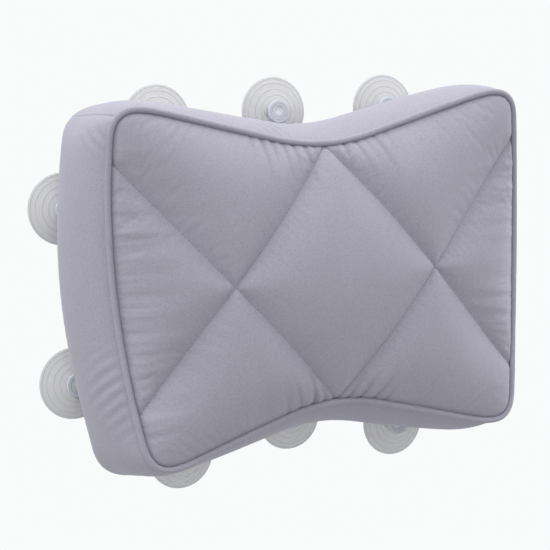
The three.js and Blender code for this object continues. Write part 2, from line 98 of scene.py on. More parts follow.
class CoverSizes(bpy.types.PropertyGroup):
    """Outlines of the face and the back, and the boxed side between them."""

    face_half_height: length("Face half height", 0.150, "Middle to the corners' reach, on the piping")
    face_waist: length("Face waist", 0.1075, "Half height at the middle, on the piping")
    face_half_width: length("Face half width", 0.1755, "Mean of the top and the bottom, before the bow")
    face_taper: number("Face taper", 0.0427, "How much wider the top is, as a share of the width")
    face_side_bow: length("Side bow", 0.0115, "How far the face's sides bow out")
    side_set_back: length("Side set-back", 0.014, "How far the sides of the face curve back")
    waist_set_back: length("Waist set-back", 0.007, "How far the waist of the face curves back")
    back_half_height: length("Back half height", 0.157, "Middle to the corners' reach of the back panel")
    back_waist: length("Back waist", 0.120, "Half height at the middle of the back panel")
    back_half_width: length("Back half width", 0.1875, "Mean of the top and the bottom, before the bow")
    back_taper: number("Back taper", 0.0293, "How much wider the back's top is, as a share of the width")
    back_side_bow: length("Back side bow", 0.0175, "How far the back panel's sides bow out")
    waist_bend: length("Waist bend", 0.044, "Half length of the round bend at the waist")
    corner_along: length("Corner along", 0.049, "Where a corner starts, from its tip along the long edge")
    corner_down: length("Corner down", 0.031, "Where a corner ends, from its tip down the side")
    corner_handle: length("Corner handle", 0.030, "Fullness of the corner's curve")
    side_bulge: length("Side bulge", 0.010, "How far the left and right strips bulge")
    waist_bulge: length("Waist bulge", 0.0115, "How far the top and bottom strips bulge at the waist")
    corner_bulge: length("Corner bulge", 0.0015, "How far the strips bulge at the corners")
    back_roll: length("Back roll", 0.0045, "How far the left and right strips roll out before the back seam")
    back_roll_reach: length("Back roll reach", 0.012, "How far before the back seam that roll stands")
    seam_tuck: length("Seam tuck", 0.0014, "How deep a seam pulls the cloth in")
    seam_reach: length("Seam reach", 0.0024, "How far from a seam the cloth is pulled in")
    gather_height: length("Gather height", 0.0013, "Height of the slanting gathers in the boxed side")
    gather_wave: length("Gather wave", 0.0104, "From one slanting gather to the next")
    gather_reach: length("Gather reach", 0.036, "How far behind the piping the gathers fade out")
    cloth: length("Cloth", 0.0016, "Thickness of the cloth with its backing")
    piping_radius: length("Piping radius", 0.0026, "Radius of the piping")
    piping_crease: length("Piping crease", 0.0032, "Piping to where the boxed side reaches its height")
    upper_seam: length("Upper seam", 0.0025, "Corner's tip to the upper corner seams, down the side")
    lower_seam: length("Lower seam", 0.013, "Corner's tip to the lower corner seams, along the bottom")


class QuiltSizes(bpy.types.PropertyGroup):
    """Stitch lines and padding of the face."""

    crossing: length("Crossing", 0.0923, "Half distance between the two crossings of the stitch lines")
    crossing_drop: length("Crossing drop", 0.0015, "How far the crossings lie under the middle")
    valley_crown: length("Valley crown", 0.015, "How far the stitched valleys stand out at the middle")
    valley_depth: length("Valley depth", 0.0022, "Depth of the narrow groove along a stitch line")
    valley_reach: length("Valley reach", 0.0022, "How far from a stitch line that groove reaches")
    puff: length("Puff", 0.0072, "How far the padding stands out of the valleys before it swells")
    puff_reach: length("Puff reach", 0.020, "How far from a stitch line the padding reaches its height")
    mesh: length("Cloth mesh", 0.0025, "Spacing of the cloth's points")
    slack: number("Slack", 0.006, "Extra cloth in the middle of the face, as a share of its size")
    pucker_height: length("Pucker height", 0.00042, "Height of the puckers that run in from the piping")
    waist_pucker: number("Waist pucker", 0.5, "Height of the waist's puckers, as a share of the sides'")
    tuck_depth: length("Tuck depth", 0.0014, "Depth of the deepest tucks at the waist")
    tuck_width: length("Tuck width", 0.0023, "Half width of a tuck")
    pucker_wave: length("Pucker wave", 0.0092, "From one pucker to the next")
    pucker_reach: length("Pucker reach", 0.022, "How far the puckers run in")
    edge_slack: number("Edge slack", 0.008, "Extra cloth gathered into the piping")
    edge_slack_reach: length("Edge slack reach", 0.024, "How far from the piping the gathers reach")
    side_slack: number("Side slack", 0.001, "Extra cloth in the boxed side, as a share of its size")
    pressure: number("Pressure", 4.0, "Pressure of the filling")
    magnify: number("Magnify", 10.0, "How much larger the cloth is while it swells")
    mass: number("Mass", 0.005, "Mass of each point of the cloth", "MASS")
    stiffness: number("Stiffness", 15.0, "How the cloth resists stretching")
    bending: number("Bending", 0.3, "How the cloth resists bending")
    quality: IntProperty(name="Quality", description="Steps of the swelling in a frame", default=6, min=1)
    frames: IntProperty(name="Frames", description="Frames of the swelling", default=20, min=1)
    swell_limit: length("Swell limit", 0.009, "The most that a point may move while it swells, neared softly")
    stitch_pitch: length("Stitch pitch", 0.0036, "From one stitch to the next")
    stitch_length: length("Stitch length", 0.0027, "Length of thread that shows")
    thread_radius: length("Thread radius", 0.0003, "Radius of the thread")


class CupSizes(bpy.types.PropertyGroup):
    """Suction cup and the tab that holds it."""

    radius: length("Cup radius", 0.030, "Radius of the rim")
    height: length("Cup height", 0.008, "Rim to the top of the bell")
    wall: length("Cup wall", 0.002, "Thickness of the bell")
    lip: length("Cup lip", 0.0016, "Thickness of the rim")
    crown_radius: length("Crown radius", 0.011, "Flat top of the bell")
    neck_radius: length("Neck radius", 0.0045, "Neck between bell and button head")
    head_radius: length("Head radius", 0.010, "Button head")
    head_front: length("Head front", 0.0133, "Wall to the front of the button head")
    head_back: length("Head back", 0.0098, "Wall to the back of the button head")
    ridge: length("Ridge height", 0.00025, "Height of the moulded rings")
    ring_width: length("Ring width", 0.0006, "Half width of a moulded ring")
    round_edge: length("Round edge", 0.0008, "Radius of the rim's and the head's edges")
    dimple_radius: length("Dimple radius", 0.0022, "Radius of the dimple in the button head")
    dimple_depth: length("Dimple depth", 0.0006, "Depth of the dimple in the button head")
    tab_thickness: length("Tab thickness", 0.0012, "Thickness of the clear tab")
    tab_top: length("Tab top", 0.0083, "Wall to the tab beside the neck")
    tab_foot: length("Tab foot", 0.0125, "Wall to the tab where it lies on the back panel")
    tab_half_width: length("Tab half width", 0.012, "Half width of the tab's foot")
    eye_radius: length("Eye radius", 0.0095, "Round end of the tab, about the neck")
    ear_reach: length("Ear reach", 0.0122, "Reach of the tab's ears from the neck's middle")
    ear_width: length("Ear width", 0.0066, "Width of an ear")
    tab_waist: length("Tab waist", 0.007, "Half width of the tab behind the eye")
    shoulder: length("Shoulder", 0.013, "Neck to where the tab widens")
    bend_end: length("Bend end", 0.040, "Neck to where the tab lies flat on the back panel")
    tab_end: length("Tab end", 0.052, "Neck to the sewn end of the tab")
    sewn_row: length("Sewn row", 0.003, "Sewn end to the row of stitches")
    bend_length: length("Bend length", 0.012, "Length of tab that bends when the cup is pulled off the wall")


class Finish(bpy.types.PropertyGroup):
    """Colours of the materials."""

    velvet: colour("Velvet", (0.395, 0.383, 0.452), "Cover cloth")
    piping: colour("Piping", (0.385, 0.373, 0.442), "Cloth of the piping, cut on the bias")
    thread: colour("Thread", (0.27, 0.26, 0.315), "Quilting thread")
    vinyl: colour("Vinyl", (0.785, 0.785, 0.805), "Clear vinyl")
    # Bluer where the vinyl is thick, and lightened there as painted light against the shade that falls on the
    # head and neck.
    thick_lightened: colour("Thick vinyl", (0.86, 0.90, 0.98), "Clear vinyl where it is thick")
    # Painted shade: darker on the moulded rings and on the rim, for the dark lines that they show.
    ring_shade: colour("Vinyl ring", (0.69, 0.69, 0.715), "Clear vinyl on a moulded ring")
    # Painted highlight: white in the head's dimple, for the bright spot that the clear head shows there.
    dimple_highlight: colour("Vinyl dimple", (1.0, 1.0, 1.0), "Clear vinyl in the dimple of the head")


class StageSettings(bpy.types.PropertyGroup):
    """Camera, lights and floor."""

    azimuth: angle("Azimuth", -25.563, "Camera's angle round the pillow")
    elevation: angle("Elevation", 6.048, "Camera's angle above the horizon")
    roll: angle("Roll", -2.929, "Camera's turn about its own axis")
    distance: length("Distance", 1.290776, "Camera to the middle of the face's plane")
    aim_right: length("Aim right", -0.048383, "Camera's offset to its right")
    aim_up: length("Aim up", -0.000839, "Camera's offset upwards")
    lens: number("Lens", 102.79, "Focal length on a 36 mm sensor", "CAMERA")
    ambient: number("Ambient", 0.65, "Strength of the light from all round")
    ambient_slope: number("Ambient slope", 0.55, "How much stronger that light is from above, as a share")
    key: number("Key light", 18.0, "Power of the softbox overhead", "POWER")
    left: number("Left light", 2.8, "Power of the softbox on the left", "POWER")
    right: number("Right light", 6.5, "Power of the softbox on the right", "POWER")
    floor_drop: length("Floor drop", 0.60, "Floor below the middle of the pillow")
    floor_half: length("Floor half width", 0.75, "Half width of the floor")


class BathPillow(bpy.types.PropertyGroup):
    """All the sizes and colours of the pillow."""

    cover: PointerProperty(type=CoverSizes)
    quilt: PointerProperty(type=QuiltSizes)
    cup: PointerProperty(type=CupSizes)
    finish: PointerProperty(type=Finish)
    stage: PointerProperty(type=StageSettings)


# Meshes


def grid_quads(rows, columns, closed=False):
    """Quads between neighbouring rows and columns of a grid of points that is stored row by row."""
    row, column = np.meshgrid(np.arange(rows - 1), np.arange(columns - (not closed)), indexing="ij")
    after = (column + 1) % columns
    corners = [row * columns + column, row * columns + after]
    corners += [(row + 1) * columns + after, (row + 1) * columns + column]
    return np.stack(corners, -1).reshape(-1, 4)


def triangles_of(quads):
    """Each quad as two triangles."""
    return np.concatenate([quads[:, [0, 1, 2]], quads[:, [0, 2, 3]]])


def outward_faces(points, faces, away):
    """The faces, turned round if their mean normal does not point along away (one vector for each face)."""
    a, b, c = (points[faces[:, i]] for i in range(3))
    facing = np.sum(np.cross(b - a, c - a) * away)
    return faces if facing > 0 else faces[:, ::-1]


def away_from(points, faces, centre):
    """Vectors from a centre to each face."""
    return points[faces].mean(1) - np.asarray(centre)


def mesh_object(name, points, faces, material):
    """A smooth mesh object at the origin from arrays of points and of faces with equal corners."""
    mesh = bpy.data.meshes.new(name)
    points = np.asarray(points, np.float32).reshape(-1, 3)
    faces = np.asarray(faces, np.int32)
    mesh.vertices.add(len(points))
    mesh.vertices.foreach_set("co", points.ravel())
    mesh.loops.add(faces.size)
    mesh.loops.foreach_set("vertex_index", faces.ravel())
    mesh.polygons.add(len(faces))
    mesh.polygons.foreach_set("loop_start", np.arange(0, faces.size, faces.shape[1], dtype=np.int32))
    mesh.polygons.foreach_set("use_smooth", np.ones(len(faces), bool))
    mesh.update(calc_edges=True)
    mesh.validate()
    if material is not None:
        mesh.materials.append(material)
    made = bpy.data.objects.new(name, mesh)
    bpy.context.scene.collection.objects.link(made)
    return made


def point_attribute(piece, name, values):
    """Stores one number for each point of a piece's mesh."""
    attribute = piece.data.attributes.new(name, "FLOAT", "POINT")
    attribute.data.foreach_set("value", np.asarray(values, np.float32).ravel())


def shell(piece, thickness, offset=-1.0):
    """Gives an open surface its thickness, inwards unless the offset says otherwise."""
    wall = piece.modifiers.new("thickness", "SOLIDIFY")
    wall.thickness = thickness
    wall.offset = offset


def refine(piece, levels=1):
    """Rounds a piece with a subdivision surface."""
    smooth = piece.modifiers.new("smooth", "SUBSURF")
    smooth.levels = levels
    smooth.render_levels = levels


def settle(piece, body, slot, *nodes):
    """Seats a piece on its body and hides the solids that it stands for. Its slot is not used."""
    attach(piece, body)
    if nodes:
        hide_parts(*nodes)


# Sine waves in a smooth noise, and the height that their sum seldom passes.
NOISE_WAVES = 14
NOISE_PEAK = 4


def smooth_noise(places, scale, seed):
    """Smooth pseudo-random heights, about -1 to 1: a sum of sine waves of random direction and phase."""
    random = np.random.default_rng(seed)
    waves = random.normal(size=(NOISE_WAVES, places.shape[-1])) / scale
    phases = random.uniform(0, 2 * math.pi, NOISE_WAVES)
    return np.sin(places @ waves.T + phases).sum(-1) / NOISE_PEAK


# Outlines of the pillow

# Points on each stretch of an outline.
STRETCH = 24


def bezier(controls):
    """Points on a Bezier curve without its last one: repeated mixing of neighbouring control points."""
    t = np.linspace(0, 1, STRETCH, endpoint=False)[:, None]
    layer = [np.broadcast_to(np.asarray(c, float), (STRETCH, 2)) for c in controls]
    while len(layer) > 1:
        layer = [a * (1 - t) + b * t for a, b in zip(layer, layer[1:])]
    return layer[0]


def sloping_edge(cover, half_width, half_height, waist, x):
    """Height of a bow-tie's sloping edge: level at the waist and then rising evenly to the corner."""
    slope = (half_height - waist) / (half_width - cover.waist_bend / 2)
    return waist + slope * np.maximum(0, np.abs(x) - cover.waist_bend / 2)


def bowed_side(half_width, half_height, bow, z):
    """Half width of a bowed side: a parabola over the height."""
    return half_width + bow * (1 - (z / half_height) ** 2)


def outline(cover, half_width, half_height, waist, bow):
    """A bow-tie over (x, z), clockwise from the middle of its top edge: each quarter is a round waist, a
    straight edge, a round corner and a bowed side, and the quarters mirror each other."""
    start_x = half_width - cover.corner_along
    start = np.array([start_x, sloping_edge(cover, half_width, half_height, waist, start_x)])
    bend = np.array([cover.waist_bend, 0.0])
    bend[1] = sloping_edge(cover, half_width, half_height, waist, bend[0])
    along = (start - bend) / np.linalg.norm(start - bend)
    end_z = half_height - cover.corner_down
    end = np.array([bowed_side(half_width, half_height, bow, end_z), end_z])
    upward = np.array([-2 * bow * end_z / half_height**2, 1.0])
    upward /= np.linalg.norm(upward)
    handles = [start + along * cover.corner_handle, end + upward * cover.corner_handle]
    middle = half_width + bow
    quarter = np.concatenate([
        bezier([(0, waist), (cover.waist_bend / 2, waist), bend]),
        bezier([bend, start]),
        bezier([start, *handles, end]),
        bezier([end, (middle, end_z / 2), (middle, 0)]),
    ])
    lower_right = np.concatenate([[(middle, 0)], quarter[:0:-1] * (1, -1)])
    lower_left = quarter * (-1, -1)
    upper_left = np.concatenate([[(-middle, 0)], quarter[:0:-1] * (-1, 1)])
    return np.concatenate([quarter, lower_right, lower_left, upper_left])


def face_plane():
    """Y of the piping's centreline at the corners, and the height of the face's middle."""
    radius = bpy.context.scene.bath_pillow.cover.piping_radius
    return PIPING_LOW.y + radius, (PIPING_LOW.z + PIPING_HIGH.z) / 2


def face_shares(cover, x, z):
    """How far a place lies towards the side and towards the long edge, squared, from 0 to 1."""
    flat_x = x / (1 + cover.face_taper * z / cover.face_half_height)
    side = bowed_side(cover.face_half_width, cover.face_half_height, cover.face_side_bow, z)
    edge = sloping_edge(
        cover, cover.face_half_width, cover.face_half_height, cover.face_waist, flat_x
    )
    return np.minimum(1, (flat_x / side) ** 2), np.minimum(1, (z / edge) ** 2), flat_x


def face_points(cover, x, z, crown):
    """Places (x, z) of the face, lifted on its crowned surface: the edges curve back at the sides and the
    waist, and the crown is a product of two parabolas."""
    plane, rise = face_plane()
    side, edge, flat_x = face_shares(cover, x, z)
    side_fade = 1 - (z / cover.face_half_height) ** 2
    edge_fade = np.maximum(0, 1 - (flat_x / cover.face_half_width) ** 2)
    set_back = cover.side_set_back * side * side_fade + cover.waist_set_back * edge * edge_fade
    y = plane + set_back - crown * (1 - side) * (1 - edge)
    return np.stack([x, y, z + rise], -1)


def edge_shares(cover, flat):
    """How much a place over (x, z) belongs to the waist, to the side and to a corner."""
    waist = np.maximum(0, 1 - (flat[:, 0] / cover.face_half_width) ** 2)
    side = (1 - (flat[:, 1] / cover.face_half_height) ** 2) * (1 - waist)
    return waist, side, np.maximum(0, 1 - waist - side)


# Share of the back roll that is left at the corners.
CORNER_ROLL = 0.2


class Seams:
    """The front and back seams, station by station, with the outward direction and the bulge between."""

    def __init__(self, cover):
        flat = outline(
            cover, cover.face_half_width, cover.face_half_height, cover.face_waist, cover.face_side_bow
        )
        back = outline(
            cover, cover.back_half_width, cover.back_half_height, cover.back_waist, cover.back_side_bow
        )
        run = np.roll(flat, -1, 0) - np.roll(flat, 1, 0)
        normal = np.stack([-run[:, 1], run[:, 0]], -1)
        normal /= np.linalg.norm(normal, axis=1, keepdims=True)
        taper = 1 + cover.face_taper * flat[:, 1] / cover.face_half_height
        self.flat = np.stack([flat[:, 0] * taper, flat[:, 1]], -1)
        self.front = face_points(cover, self.flat[:, 0], self.flat[:, 1], 0)
        back_x = back[:, 0] * (1 + cover.back_taper * back[:, 1] / cover.back_half_height)
        self.back = np.stack([back_x, np.full(len(back), BACK_HIGH.y), back[:, 1]], -1)
        self.outward = np.stack([normal[:, 0], np.zeros(len(normal)), normal[:, 1]], -1)
        waist, side, corner = edge_shares(cover, flat)
        self.bulge = cover.side_bulge * side + cover.waist_bulge * waist + cover.corner_bulge * corner
        self.roll = cover.back_roll * (side + CORNER_ROLL * corner)
        quarter = len(flat) // 4
        tip = int(np.argmax(flat[:quarter, 0] * flat[:quarter, 1]))
        station = np.linalg.norm(flat[tip + 1] - flat[tip])
        upper, lower = tip + round(cover.upper_seam / station), tip - round(cover.lower_seam / station)
        self.corners = [upper, 2 * quarter - lower, 2 * quarter + lower, 4 * quarter - upper]
        self.count = len(flat)

    def at(self, steps):
        """Front point, back point, outward direction, bulge and roll at steps between the stations."""
        stations = np.arange(-self.count, 2 * self.count + 1)
        wrapped = stations % self.count
        swells = np.stack([self.bulge, self.roll], -1)
        table = np.concatenate([self.front, self.back, self.outward, swells], 1)[wrapped]
        found = np.stack([np.interp(steps, stations, column) for column in table.T], -1)
        return found[:, :3], found[:, 3:6], found[:, 6:9], found[:, 9], found[:, 10]


def spaced_loop(points, spacing):
    """Points at even distances round a closed loop, an even number of them."""
    closed = np.concatenate([points, points[:1]])
    run = np.concatenate([[0], np.cumsum(np.linalg.norm(np.diff(closed, axis=0), axis=1))])
    count = 2 * round(run[-1] / spacing / 2)
    places = np.linspace(0, run[-1], count, endpoint=False)
    return np.stack([np.interp(places, run, column) for column in closed.T], -1)


# Quilted face


def inside_loop(places, loop):
    """Which places lie in a closed loop: a ray to the right crosses it an odd number of times."""
    a, b = loop, np.roll(loop, -1, 0)
    x, z = places[:, :1], places[:, 1:]
    spans = (a[:, 1] > z) != (b[:, 1] > z)
    rise = np.where(b[:, 1] == a[:, 1], 1, b[:, 1] - a[:, 1])
    cross = a[:, 0] + (z - a[:, 1]) * (b[:, 0] - a[:, 0]) / rise
    return (np.sum(spans & (x < cross), 1) % 2).astype(bool)


def distance_to(places, ends):
    """Distance of each place to the nearest of some segments, given as (start, end) pairs."""
    start, run = ends[:, 0], ends[:, 1] - ends[:, 0]
    offset = places[:, None] - start
    part = np.clip(np.sum(offset * run, -1) / np.sum(run**2, -1), 0, 1)
    return np.linalg.norm(offset - part[..., None] * run, axis=-1).min(1)


# How far a stitch line is followed, in lengths from its start to its crossing, and in how many steps.
LINE_REACH = 2.4
LINE_STEPS = 800


def stitch_lines(quilt, loop):
    """Four straight stitch lines as (start, end): from the middle of the long edges through the crossings,
    to just short of the side seam."""
    lines = []
    for top in (1, -1):
        vertex = np.array([0, loop[np.argmin(np.abs(loop[:, 0]) - top * loop[:, 1])][1]])
        for side in (-1, 1):
            crossing = np.array([side * quilt.crossing, -quilt.crossing_drop])
            places = vertex + np.linspace(1, LINE_REACH, LINE_STEPS)[:, None] * (crossing - vertex)
            lines.append((vertex, places[inside_loop(places, loop)][-1]))
    return np.array(lines)


def line_points(quilt, line, spacing):
    """Points along a stitch line, with one on its crossing."""
    start, end = line
    part = (quilt.crossing - abs(start[0])) / (abs(end[0]) - abs(start[0]))
    reach = np.linalg.norm(end - start)
    first = np.linspace(0, part, round(reach * part / spacing), endpoint=False)
    last = np.linspace(part, 1, round(reach * (1 - part) / spacing))
    return start + np.concatenate([first, last])[:, None] * (end - start)


# Lattice of the cloth's points: half its width in half widths of the face, its random shifts and its gap
# to the seams in spacings of the cloth, and the seed of the shifts.
LATTICE_REACH = 1.3
LATTICE_SHIFT = 0.12
LATTICE_GAP = 0.6
LATTICE_SEED = 3


def hexagonal(reach, spacing):
    """Places on a lattice of triangles over a square, each shifted a little at random."""
    rows = np.arange(-reach, reach, spacing * math.sqrt(3) / 2)
    columns = np.arange(-reach, reach, spacing)
    x, z = np.meshgrid(columns, rows)
    x = x + np.where(np.arange(len(rows)) % 2, spacing / 2, 0)[:, None]
    random = np.random.default_rng(LATTICE_SEED)
    shift = random.uniform(-LATTICE_SHIFT, LATTICE_SHIFT, (x.size, 2)) * spacing
    return np.stack([x.ravel(), z.ravel()], -1) + shift


# Tucks at the waist: top (1) or bottom (-1), place along the seam, lean, length and share of the depth.
TUCKS = (
    (1, -0.066, -0.1, 0.024, 0.5),
    (1, -0.057, 0.0, 0.036, 0.9),
    (1, -0.047, -0.1, 0.024, 0.95),
    (1, -0.038, 0.0, 0.032, 1.0),
    (1, -0.029, 0.0, 0.024, 1.05),
    (1, -0.019, 0.15, 0.036, 1.15),
    (1, -0.010, 0.0, 0.014, 1.0),
    (1, 0.009, 0.3, 0.026, 0.8),
    (1, 0.0175, 0.2, 0.032, 1.0),
    (1, 0.029, 0.3, 0.038, 0.9),
    (1, 0.038, 0.25, 0.022, 0.6),
    (1, 0.046, 0.35, 0.040, 0.8),
    (1, 0.056, 0.3, 0.022, 0.5),
    (-1, -0.044, -0.4, 0.024, 0.5),
    (-1, -0.033, -0.4, 0.036, 0.9),
    (-1, -0.021, -0.25, 0.040, 1.3),
    (-1, -0.011, -0.3, 0.024, 1.1),
    (-1, 0.0106, 0.55, 0.026, 1.2),
    (-1, 0.022, 0.5, 0.028, 1.2),
    (-1, 0.035, 0.55, 0.028, 1.0),
    (-1, 0.046, 0.5, 0.018, 0.6),
)

# Height of the ridges beside a tuck, as a share of its depth.
TUCK_RIDGE = 0.45

# Puckers: length of each wave and its height at the sides, as multiples of the fine wave's, then the reach
# and the seeds of the noises that shift the waves and make them uneven, their strengths, and the limits.
PUCKER_WAVES = ((1.0, 1.0), (2.3, 1.3))
PUCKER_NOISE = 0.016
PUCKER_SEEDS = (11, 12)
PUCKER_SHIFT = 1.4
PUCKER_UNEVEN = 0.7
PUCKER_LIMITS = (0.2, 2)

# How much of the gathered cloth goes away at a corner, and how widely.
CORNER_SLACK = 0.75
CORNER_SPREAD = 1.6

# Edge of the face's cloth, in radii of the piping: how far it lies in from the piping's middle, how deep it
# drops behind the piping, and how far in that drop reaches.
EDGE_INSET = 0.72
EDGE_DROP = 1.2
EDGE_DROP_REACH = 0.6

# A point this near to a seam lies on it, and points this near to each other are one.
ON_SEAM = 1e-5
SAME_PLACE = 1e-6


def panel_edge(cover, seams):
    """Edge of the face's cloth over (x, z): the front seam, drawn in a little."""
    return seams.flat - EDGE_INSET * cover.piping_radius * seams.outward[:, [0, 2]]


class FacePanel:
    """Flat pattern of the face: triangles whose edges follow the outline and the stitch lines."""

    def __init__(self, cover, quilt, seams):
        self.loop = spaced_loop(panel_edge(cover, seams), quilt.mesh)
        self.lines = stitch_lines(quilt, self.loop)
        rows = [line_points(quilt, line, quilt.mesh) for line in self.lines]
        fill = hexagonal(LATTICE_REACH * cover.face_half_width, quilt.mesh)
        fill = fill[inside_loop(fill, self.loop)]
        edges = np.stack([self.loop, np.roll(self.loop, -1, 0)], 1)
        clear = np.minimum(distance_to(fill, edges), distance_to(fill, self.lines))
        fill = fill[clear > LATTICE_GAP * quilt.mesh]
        places = np.concatenate([self.loop, *rows, fill])
        count = len(self.loop)
        ring = np.arange(count)
        bonds = [np.stack([ring, (ring + 1) % count], -1)]
        first = count
        for row in rows:
            bonds.append(np.stack([np.arange(len(row) - 1), np.arange(1, len(row))], -1) + first)
            first += len(row)
        made = delaunay_2d_cdt(
            [Vector(p) for p in places.tolist()], np.concatenate(bonds).tolist(), [], 0, SAME_PLACE, False
        )
        self.places = np.array([tuple(v) for v in made[0]])
        faces = np.array([f for f in made[2] if len(f) == 3])
        self.faces = faces[inside_loop(self.places[faces].mean(1), self.loop)]
        gaps = np.linalg.norm(self.places[None] - self.loop[:, None], axis=-1)
        self.ring = np.argmin(gaps, 1)
        nearest = np.argmin(gaps, 0)
        self.edge = self.loop[nearest]
        run = np.roll(self.loop, -1, 0) - self.loop
        step = np.linalg.norm(run, axis=1, keepdims=True)
        self.turns = (nearest + np.sum((self.places - self.edge) * (run / step**2)[nearest], 1)) / count
        self.around = step.sum()
        self.to_line = distance_to(self.places, self.lines)
        self.to_edge = distance_to(self.places, edges)

    def lifted(self, cover, quilt):
        """The panel before it swells: the valleys' crowned surface, and padding that rises from each seam
        as 1 - exp(-distance / reach)."""
        base = face_points(cover, self.places[:, 0], self.places[:, 1], quilt.valley_crown)
        seam = np.minimum(self.to_line, self.to_edge)
        base[:, 1] -= quilt.puff * (1 - np.exp(-seam / quilt.puff_reach))
        base[:, 1] -= quilt.valley_depth * (1 - np.exp(-self.to_line / quilt.valley_reach))
        radius = cover.piping_radius
        base[:, 1] += EDGE_DROP * radius * np.exp(-self.to_edge / (EDGE_DROP_REACH * radius))
        return base

    def puckers(self, cover, quilt):
        """Puckers that run in from the piping: fine and broad sine waves along the edge, made uneven by
        noise, that rise next to the seam and fade inwards as exp(-(distance / reach)^2). They are strong on
        the sides and near the waist, and fade out at the corners."""
        waist, side, _ = edge_shares(cover, self.edge)
        uneven, strong = (smooth_noise(self.edge, PUCKER_NOISE, seed) for seed in PUCKER_SEEDS)
        height = np.zeros(len(self.places))
        for coarse, at_side in PUCKER_WAVES:
            waves = round(self.around / (quilt.pucker_wave * coarse))
            folds = np.sin(2 * math.pi * waves * self.turns + PUCKER_SHIFT * uneven)
            fade = np.exp(-(self.to_edge / (quilt.pucker_reach * coarse)) ** 2)
            height += (at_side * side + quilt.waist_pucker * waist**4) * folds * fade
        for seam in (self.to_edge, self.to_line):
            height *= 1 - np.exp(-seam / cover.piping_radius)
        return quilt.pucker_height * height * np.clip(1 + PUCKER_UNEVEN * strong, *PUCKER_LIMITS)

    def tucks(self, cover, quilt):
        """Tucks that the seam draws in at the waist, as a share of their depth: valleys along straight lines,
        exp(-(across / width)^2) * (1 - along / length), between lower ridges at twice the width."""
        place = np.array(TUCKS)[:, :, None]
        end, start, lean, reach, deep = (place[:, column] for column in range(5))
        across = np.abs(self.places[:, 0] - start - lean * self.to_edge) / quilt.tuck_width
        folds = np.exp(-across**2) - TUCK_RIDGE * np.exp(-(across - 2) ** 2)
        folds *= deep * np.clip(1 - self.to_edge / reach, 0, 1) * (end * self.places[:, 1] > 0)
        return folds.sum(0) * (1 - np.exp(-self.to_line / cover.piping_radius))

    def slack(self, cover, quilt):
        """Extra cloth at each point: gathered into the piping along the waist and the sides, and fading
        inwards as exp(-distance / reach)."""
        corner = edge_shares(cover, self.places)[2]
        gathered = quilt.edge_slack * np.exp(-self.to_edge / quilt.edge_slack_reach)
        return quilt.slack + gathered * (1 - CORNER_SLACK * np.minimum(1, CORNER_SPREAD * corner))


# Underside of the pad: its rings, its depth and the size of its last ring.
PAD_RINGS = 8
PAD_DEPTH = 0.014
PAD_MIDDLE = 0.12


def pad_underside(points, ring, first):
    """Underside of the pad: rings of the edge drawn in, deeper towards the middle, and the last one zipped
    shut from left to right. Gives the new points and the triangles between them and the edge."""
    edge = points[ring]
    size = np.linspace(1, PAD_MIDDLE, PAD_RINGS)[1:]
    middle = edge.mean(0)
    rings = middle + (edge - middle) * size[:, None, None]
    rings[..., 1] += PAD_DEPTH * (1 - size**4)[:, None]
    count = len(ring)
    ids = np.concatenate([ring, first + np.arange(rings.shape[0] * count)])
    quads = ids[grid_quads(PAD_RINGS, count, closed=True)]
    last, step = ids[-count:], np.arange(count // 2 - 1)
    zipped = np.stack([last[step], last[step + 1], last[count - 2 - step], last[count - 1 - step]], -1)
    return rings.reshape(-1, 3), triangles_of(np.concatenate([quads, zipped]))


# Boxed side

SIDE_ROWS = 31
STRIPS = ("gusset_right", "gusset_bottom", "gusset_left", "gusset_top")

# Where a strip starts behind the piping's middle, in radii of the piping, how narrow its roll before the back
# is, and how much shallower a corner seam gets towards the back.
STRIP_START = 0.75
ROLL_NARROW = 1.4
CORNER_SEAM_FADE = 0.75

# Slanting gathers of a strip, as (middle along the strip, half spread, slant).
GATHERS = {
    "gusset_right": ((0.215, 0.034, -0.5),),
    "gusset_left": ((0.083, 0.034, 0.5), (0.277, 0.008, -0.7)),
    "gusset_top": ((0.142, 0.018, 0.9),),
}


def gathers(cover, name, along, depth):
    """Height of the slanting gathers: sine waves over along + slant * depth, within a bell curve along the
    strip, that rise just behind the piping and fade out halfway to the back."""
    height = np.zeros(np.broadcast(along, depth).shape)
    rise = (1 - np.exp(-depth / cover.piping_crease)) * np.exp(-((depth / cover.gather_reach) ** 2))
    for middle, spread, slant in GATHERS.get(name, ()):
        wave = np.sin(2 * math.pi * (along + slant * depth - middle) / cover.gather_wave)
        height += cover.gather_height * wave * rise * np.exp(-(((along - middle) / spread) ** 2))
    return height


def side_strip(cover, seams, name, first, last, spacing):
    """One strip of the boxed side as a grid (depth, along): straight from the front seam to the back seam,
    bulging by 4 b d (1 - d) at depth d, with a bell-curved roll before the back seam, and pulled in by
    exp(-distance / reach) at each of its seams."""
    front = seams.at(np.linspace(first, last, 4 * (last - first)))[0]
    run = np.concatenate([[0], np.cumsum(np.linalg.norm(np.diff(front, axis=0), axis=1))])
    count = round(run[-1] / spacing)
    steps = np.interp(np.linspace(0, run[-1], count), run, np.linspace(first, last, len(run)))
    front, back, outward, bulge, roll = seams.at(steps)
    radius = cover.piping_radius
    front = front + (0, STRIP_START * radius, 0)
    depth = np.linspace(0, 1, SIDE_ROWS)[:, None]
    reach = np.linalg.norm(back - front, axis=1)
    along = np.linspace(0, run[-1], count)
    ends = np.minimum(along, run[-1] - along)
    out = 4 * bulge * depth * (1 - depth) + radius * (1 - depth)
    out = out - radius * np.exp(-depth * reach / cover.piping_crease)
    behind = (1 - depth) * reach
    out = out + roll * np.exp(-((behind / cover.back_roll_reach - 1) ** 2) * ROLL_NARROW)
    out = out - cover.seam_tuck * np.exp(-behind / cover.seam_reach)
    out = out - cover.seam_tuck * np.exp(-ends / cover.seam_reach) * (1 - CORNER_SEAM_FADE * depth)
    out = out + gathers(cover, name, along, depth * reach)
    return front + (back - front) * depth[..., None] + outward * out[..., None]


